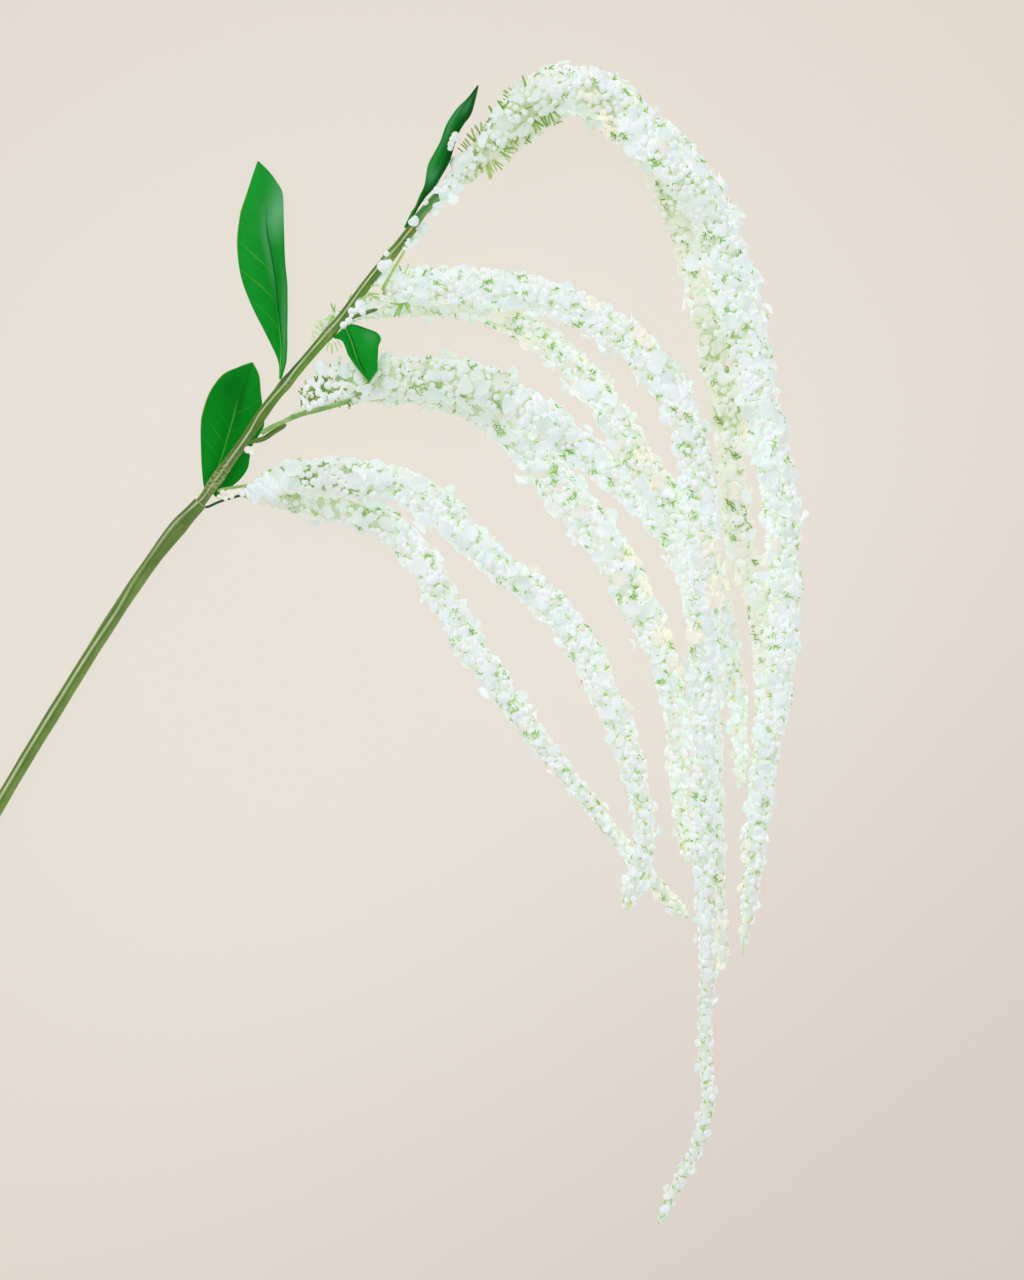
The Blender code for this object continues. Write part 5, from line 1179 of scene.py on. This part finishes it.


# Where the florets stand thin, so that more green shows and the whites, needles and strand are
# darkened with painted shade, as at the sprays' starts, and where they are dense and white: places
# on the tassels in millimetres, each with how far it reaches
THIN_AND_SHADED_PLACES = [
    (34, 124, 46), (66, 112, 34), (0, 68, 28), (24, 58, 18), (94, 240, 28), (64, 229, 26), (126, 241, 14),
    (163, 193, 24), (176, 134, 22), (183, 108, 18)]
DENSE_PLACES = [(182, 14, 32), (180, -40, 30), (184, -134, 26), (168, 40, 16)]
crowding_and_shade, given, result = shared_effect("floret_crowding_and_shade", {"Place": None}, ("Thin", "Dense"))
flat_place = node(crowding_and_shade, "VectorMath", {"operation": "MULTIPLY"}, i0=given["Place"], i1=(1, 1, 0)).outputs[0]
for label, places in (("Thin", THIN_AND_SHADED_PLACES), ("Dense", DENSE_PLACES)):
    near = 0.0
    for x, y, reached in places:
        far = node(crowding_and_shade, "VectorMath", {"operation": "DISTANCE"}, i0=flat_place, i1=(x * MM, y * MM, 0))
        near = maths(crowding_and_shade, "MAXIMUM", near, reach(crowding_and_shade, far.outputs["Value"], 0.3 * reached * MM,
                                                      reached * MM, 1.0, 0.0))
    crowding_and_shade.links.new(near, result[label])


def crowd_and_shade(tree, label, weight):
    # The share of a coat for one label: thin florets with painted shade, dense florets
    crowd_and_shade_node = node(tree, "Group", {"node_tree": crowding_and_shade}, Place=object_place(tree))
    return product(tree, crowd_and_shade_node.outputs[label], weight)


FOAM_WHITES = [colour(249, 251, 253), colour(246, 249, 250), colour(250, 251, 254), colour(242, 247, 242)]
FILM_WHITES = [colour(244, 250, 253), colour(238, 247, 246), colour(248, 251, 254), colour(230, 240, 234)]


def white_finish(name, whites, cream, roughness, bump, specular=0.5):
    # Each bead or petal gets its own white from four, and a few are cream. The soft light that
    # wanders inside the crowded whites is a faint glow of the same colour.
    finish, tree, shader, patches = new_finish(name, 140.0, 1700.0, roughness, bump, specular)
    own = node(tree, "NewGeometry").outputs["Random Per Island"]
    other = maths(tree, "FRACT", product(tree, own, 37.0))
    shade = painted(
        tree, whites[0],
        (reach(tree, own, 0.0, 0.35), whites[1]),
        (reach(tree, own, 0.35, 0.7), whites[2]),
        (reach(tree, own, 0.72, 0.95), whites[3]),
        (reach(tree, other, 1 - cream - 0.02, 1 - cream + 0.02), colour(242, 238, 226)),
        (product(tree, patches, 0.35), colour(232, 241, 232)),
        # Whites darker and greener where the florets stand thin: painted shade
        (crowd_and_shade(tree, "Thin", 0.18), colour(196, 214, 172)),
        (read_mark(tree, "cream"), colour(250, 247, 235)),
        (read_mark(tree, "glue"), colour(246, 220, 132)))
    coloured(tree, shader, shade, GLOW)
    return finish, shader


# Soft green plastic needles: most of them pale, a few deep, and olive where a tassel's mark says so
needle_plastic, tree, shader, patches = new_finish("light_green_needles", 240.0, 2000.0, 0.5, 0.2)
own = node(tree, "NewGeometry").outputs["Random Per Island"]
roots = painted(tree, colour(184, 226, 118), (reach(tree, own, 0.1, 0.8), colour(118, 190, 58)),
                (reach(tree, own, 0.84, 0.96), colour(92, 140, 38)))
tips = painted(tree, colour(214, 240, 180), (reach(tree, own, 0.0, 0.8), colour(178, 228, 124)),
               (product(tree, patches, 0.4), colour(208, 240, 176)))
olive = mixed(tree, reach(tree, own, 0.2, 0.7), colour(172, 190, 88), colour(116, 146, 40))
fresh = painted(
    tree, roots,
    (read_mark(tree, "tip"), tips),
    # Needles darker where the florets stand thin: a deeper green with painted shade
    (crowd_and_shade(tree, "Thin", 0.6), colour(136, 178, 74)),
    (crowd_and_shade(tree, "Dense", 0.5), colour(226, 242, 206)),
    (read_mark(tree, "pale"), colour(222, 244, 186)),
    (read_mark(tree, "olive"), olive))
# A faint glow of the needles' own colour: painted light
coloured(tree, shader, fresh, GLOW)

core_yarn, tree, shader, patches = new_finish("pale_green_core", 330.0, 1500.0, 0.75, 0.6)
sprigs = noise(tree, object_place(tree), 430.0, 2.0)
bare = mixed(tree, reach(tree, sprigs, 0.4, 0.6), colour(150, 182, 92), colour(96, 138, 52))
yarn = painted(
    tree, mixed(tree, patches, colour(222, 237, 214), colour(238, 245, 236)),
    (reach(tree, sprigs, 0.54, 0.65), colour(182, 210, 132)),
    # The strand darker where the florets stand thin: a deeper green with painted shade
    (crowd_and_shade(tree, "Thin", 0.5), colour(176, 198, 130)),
    (crowd_and_shade(tree, "Dense", 0.6), colour(238, 245, 238)),
    (read_mark(tree, "bare"), bare))
# A faint glow of the strand's own colour: painted light
coloured(tree, shader, yarn, GLOW)

shape_draw = np.random.default_rng(41)
bead = bead_shape()
petals = [petal_shape(shape_draw, PETAL_THICKNESS / 8) for _ in range(8)]
combs = [comb_shape(shape_draw) for _ in range(6)]
bare_wire = closed_shape(*spike((0, 0, 0), (0.8, 0.012, 0), (1, 0, 0), 0.026))
lone_needle = closed_shape(*spike((0, 0, 0), (0.88, 0.03, 0.04), (1, 0, 0), 0.085))
tassel_lines = {name: Line(points) for name, points in TASSELS.items()}
spheres = {name: line.read(np.arange(0, line.length, 1.5 * MM)) for name, line in tassel_lines.items()}


def away_from_others(places, name, depth):
    # True where a place is not inside any other tassel
    others = np.vstack([rows for other, rows in spheres.items() if other != name])
    far = np.linalg.norm(places[:, None, :] - others[None, :, :3], axis=2) - others[None, :, 3]
    return far.min(axis=1) > depth


def thinned(places, least, name, depth, most):
    # Numbers of the places that are used: spaced out, clear of the other tassels and not too many
    kept = spaced(places, least)
    return kept[away_from_others(places[kept], name, depth)][:int(most)]


def cream_by_place(points, corners, draw):
    # 1 for the points of florets that stand in the cream places, 0 for the others
    middles = points.reshape(-1, corners, 3).mean(axis=1) / MM
    near = [1 - np.hypot(middles[:, 0] - x, middles[:, 1] - y) / reached for x, y, reached in CREAM_PLACES]
    return np.repeat(np.max(near, axis=0) * CREAM_GAIN > draw.uniform(0, 1, len(middles)), corners)


for number, (name, line) in enumerate(tassel_lines.items()):
    draw = np.random.default_rng(700 + number)
    ripple = draw.uniform(0, math.tau, 2)
    area = math.tau * line.read(np.linspace(0, line.length, 900))[:, 3].mean() * line.length / MM ** 2
    cream = CREAM.get(name, 0.05)

    # The strand
    stations = np.linspace(0, line.length, int(line.length / CORE_STEP))
    grid = np.repeat(stations[:, None], CORE_SIDES, axis=1)
    turns = np.broadcast_to(round_turns(CORE_SIDES), grid.shape)
    radii = skin(line, grid, turns, ripple) * CORE_SHARE * (1 + draw.uniform(*CORE_UNEVEN, grid.shape))
    radii[[0, -1]] *= 0.6
    points = line.off(grid, turns, radii)
    points[:, :, 2] = np.maximum(points[:, :, 2], TABLE_CLEAR)
    core = placed(closed_mesh(name + "_strand", points, ring_faces(len(stations), CORE_SIDES)), core_yarn, 80)
    bare_from, bare_to = (value * MM for value in BARE.get(name, (0, 1)))
    bareness = (stations >= bare_from) * np.clip(1.5 - 1.5 * stations / bare_to, 0, 1)
    marked(core, bare=np.repeat(bareness, CORE_SIDES))
    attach(core, "root")
    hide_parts(name)

    # Foam beads
    along, turn = strewn(line, int(area / BEAD_EVERY * BEAD_TRIES), draw)
    radius = draw.uniform(*BEAD_RADIUS, len(along)) * MM
    outer = skin(line, along, turn, ripple)
    on_bare = (along >= bare_from) * (along < bare_to) * np.clip(2 - 2 * along / bare_to, 0, 1)
    radius = np.minimum(radius * (1 + 0.16 * on_bare), outer * 0.42)
    tuft = tuft_field(line.off(along, turn, outer), number) + 2 * on_bare
    sunk = sinking(draw, outer, BEAD_SINKS, between_tufts(tuft), BEAD_SINKS_OUTSIDE)
    places = line.off(along, turn, outer - radius - sunk)
    kept = thinned(places, BEAD_SPACING * MM, name, -BEAD_PRESS, area / BEAD_EVERY)
    forward = line.ahead(along[kept])
    forward = unit(forward + draw.normal(0, 0.6, forward.shape))
    beads = Repeats()
    beads.add(bead, places[kept], axes_from(forward, line.outward(along[kept], turn[kept])), radius[kept])
    if name in LONE_BEADS:
        rows = np.array(LONE_BEADS[name]) * MM
        beads.add(bead, rows[:, :3], np.tile(np.eye(3), (len(rows), 1, 1)), rows[:, 3])
    drops = np.array(GLUE_DROPS.get(name, ())).reshape(-1, 2) * MM
    for drop in drops:
        off = np.hypot(*(line.line[:, :2] - drop).T)
        nearest = line.line[off.argmin()]
        level = nearest[2] + math.sqrt(max(nearest[3] ** 2 - off.min() ** 2, 0)) + DROP_RISE
        beads.add(bead, np.array([[*drop, level]]), np.eye(3)[None], np.array([DROP_RADIUS]))
    foam, _ = white_finish(name + "_foam", FOAM_WHITES, cream, 0.72, 0.5, 0.25)
    bead_piece = beads.piece(name + "_beads", foam)
    creamed = cream_by_place(beads.all_points(), len(bead[0]), draw)
    lone_number = np.arange(beads.count) // len(bead[0]) - len(kept)
    creamed |= (lone_number >= 0) & (lone_number < LONE_CREAM.get(name, 0))
    marked(bead_piece, cream=creamed, glue=lone_number > lone_number[-1] - len(drops))
    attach(bead_piece, "root")

    # Petals
    along, turn = strewn(line, int(area / PETAL_EVERY * PETAL_TRIES), draw, PETALS_FROM.get(name, 5) * MM)
    outer = skin(line, along, turn, ripple)
    outward, forward = line.outward(along, turn), line.ahead(along)
    around = np.cross(outward, forward)
    heading = turned_by(draw.uniform(0, math.tau, len(along)), forward, around)
    lean = draw.uniform(0, PETAL_LEAN, len(along))
    facing = unit(turned_by(lean, outward, turned_by(draw.uniform(0, math.tau, len(along)), around, forward)))
    axes = axes_from(heading, facing)
    size = draw.uniform(*PETAL_LENGTH, len(along)) * MM * np.clip(outer / FULL_RADIUS, 0.62, 1.0)
    tuft = tuft_field(line.off(along, turn, outer), number)
    sunk = sinking(draw, outer, PETAL_SINKS, 1 - between_tufts(tuft), PETAL_SINKS_IN_TUFTS)
    centres = line.off(along, turn, outer - sunk)
    places = centres - axes[:, 0] * size[:, None] * 0.5
    kept = thinned(centres, PETAL_SPACING * MM, name, PETAL_CLEAR, area / PETAL_EVERY)
    kind = draw.integers(0, len(petals), len(along))
    axes[:, 1:] *= np.where(draw.uniform(0, 1, len(along)) < PETALS_TURNED, -1, 1)[:, None, None]
    petal_set = Repeats()
    petal_set.add_kinds(petals, kind, kept, places, axes, size)
    petal_set.add_apart(petals, LONE_PETALS.get(name, ()), 0.5)
    film, shader = white_finish(name + "_film", FILM_WHITES, cream * 0.8, 0.4, 0.25)
    shader.inputs["Alpha"].default_value = FILM_ALPHA
    petal_piece = petal_set.piece(name + "_petals", film, 75)
    marked(petal_piece, cream=cream_by_place(petal_set.all_points(), len(petals[0][0]), draw), glue=0.0)
    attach(petal_piece, "root")

    # Combs of needles, and the loose needles that stand round the first part of a spray
    along, turn = strewn(line, int(area / COMB_EVERY), draw)
    outer = skin(line, along, turn, ripple)
    outward, forward = line.outward(along, turn), line.ahead(along)
    heading = turned_by(draw.normal(0, 1.1, len(along)), forward, np.cross(outward, forward))
    size = draw.uniform(*COMB_LENGTH, len(along)) * MM * np.clip(outer / (7 * MM), 0.7, 1.0)
    axes = axes_from(heading, outward)
    places = line.off(along, turn, outer - draw.uniform(*COMB_SINKS, len(along)) * MM)
    places = places - axes[:, 0] * size[:, None] * 0.5
    tuft = tuft_field(line.off(along, turn, outer), number)
    stray = draw.uniform(0, 1, len(along)) < STRAY_COMBS
    clear = away_from_others(places, name, 0.0) & ((tuft > 0.5) | stray)
    kind = draw.integers(0, len(combs), len(along))
    needles = Repeats()
    needles.add_kinds(combs, kind, np.flatnonzero(clear), places, axes, size)
    if name in NEEDLE_ZONES:
        first, last, count = NEEDLE_ZONES[name]
        along = draw.uniform(first, last, count) * MM
        turn = draw.uniform(0, math.tau, count)
        outward, forward = line.outward(along, turn), line.ahead(along)
        aim = unit(outward + forward * draw.uniform(-0.2, 0.7, count)[:, None])
        side = unit(np.cross(np.cross(forward, outward), aim))
        radius = line.read(along)[:, 3]
        size = radius * 0.3 + draw.uniform(*NEEDLE_REACH.get(name, (3.0, 6.0)), count) * MM
        needles.add(lone_needle, line.off(along, turn, radius * 0.7),
                    np.stack([aim, side, np.cross(aim, side)], axis=1), size)
    before_lone = needles.count
    level, rows = LONE_NEEDLES.get(name, (0, ()))
    rows = [(x, y, level, heading, NEEDLE_LEAN, long) for x, y, heading, long in rows]
    needles.add_apart([lone_needle], rows, 0)
    if name == "tassel_1_front":
        needles.add_apart([bare_wire], [WIRE_END], 0)
    comb_piece = needles.piece(name + "_needles", needle_plastic)
    strong, until = OLIVE.get(name, (0.0, 1))
    from_start = np.linalg.norm(needles.all_points() - line.read(0.0)[:3], axis=1) / (until * MM)
    pale = (name == "tassel_2_lower") & (np.arange(needles.count) >= before_lone)
    tips = np.resize(LONE_TIPS, needles.count)
    tips[:before_lone] = np.resize(COMB_TIPS, before_lone)
    marked(comb_piece, olive=strong * np.clip(2 - 2 * from_start, 0, 1), pale=pale, tip=tips)
    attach(comb_piece, "root")
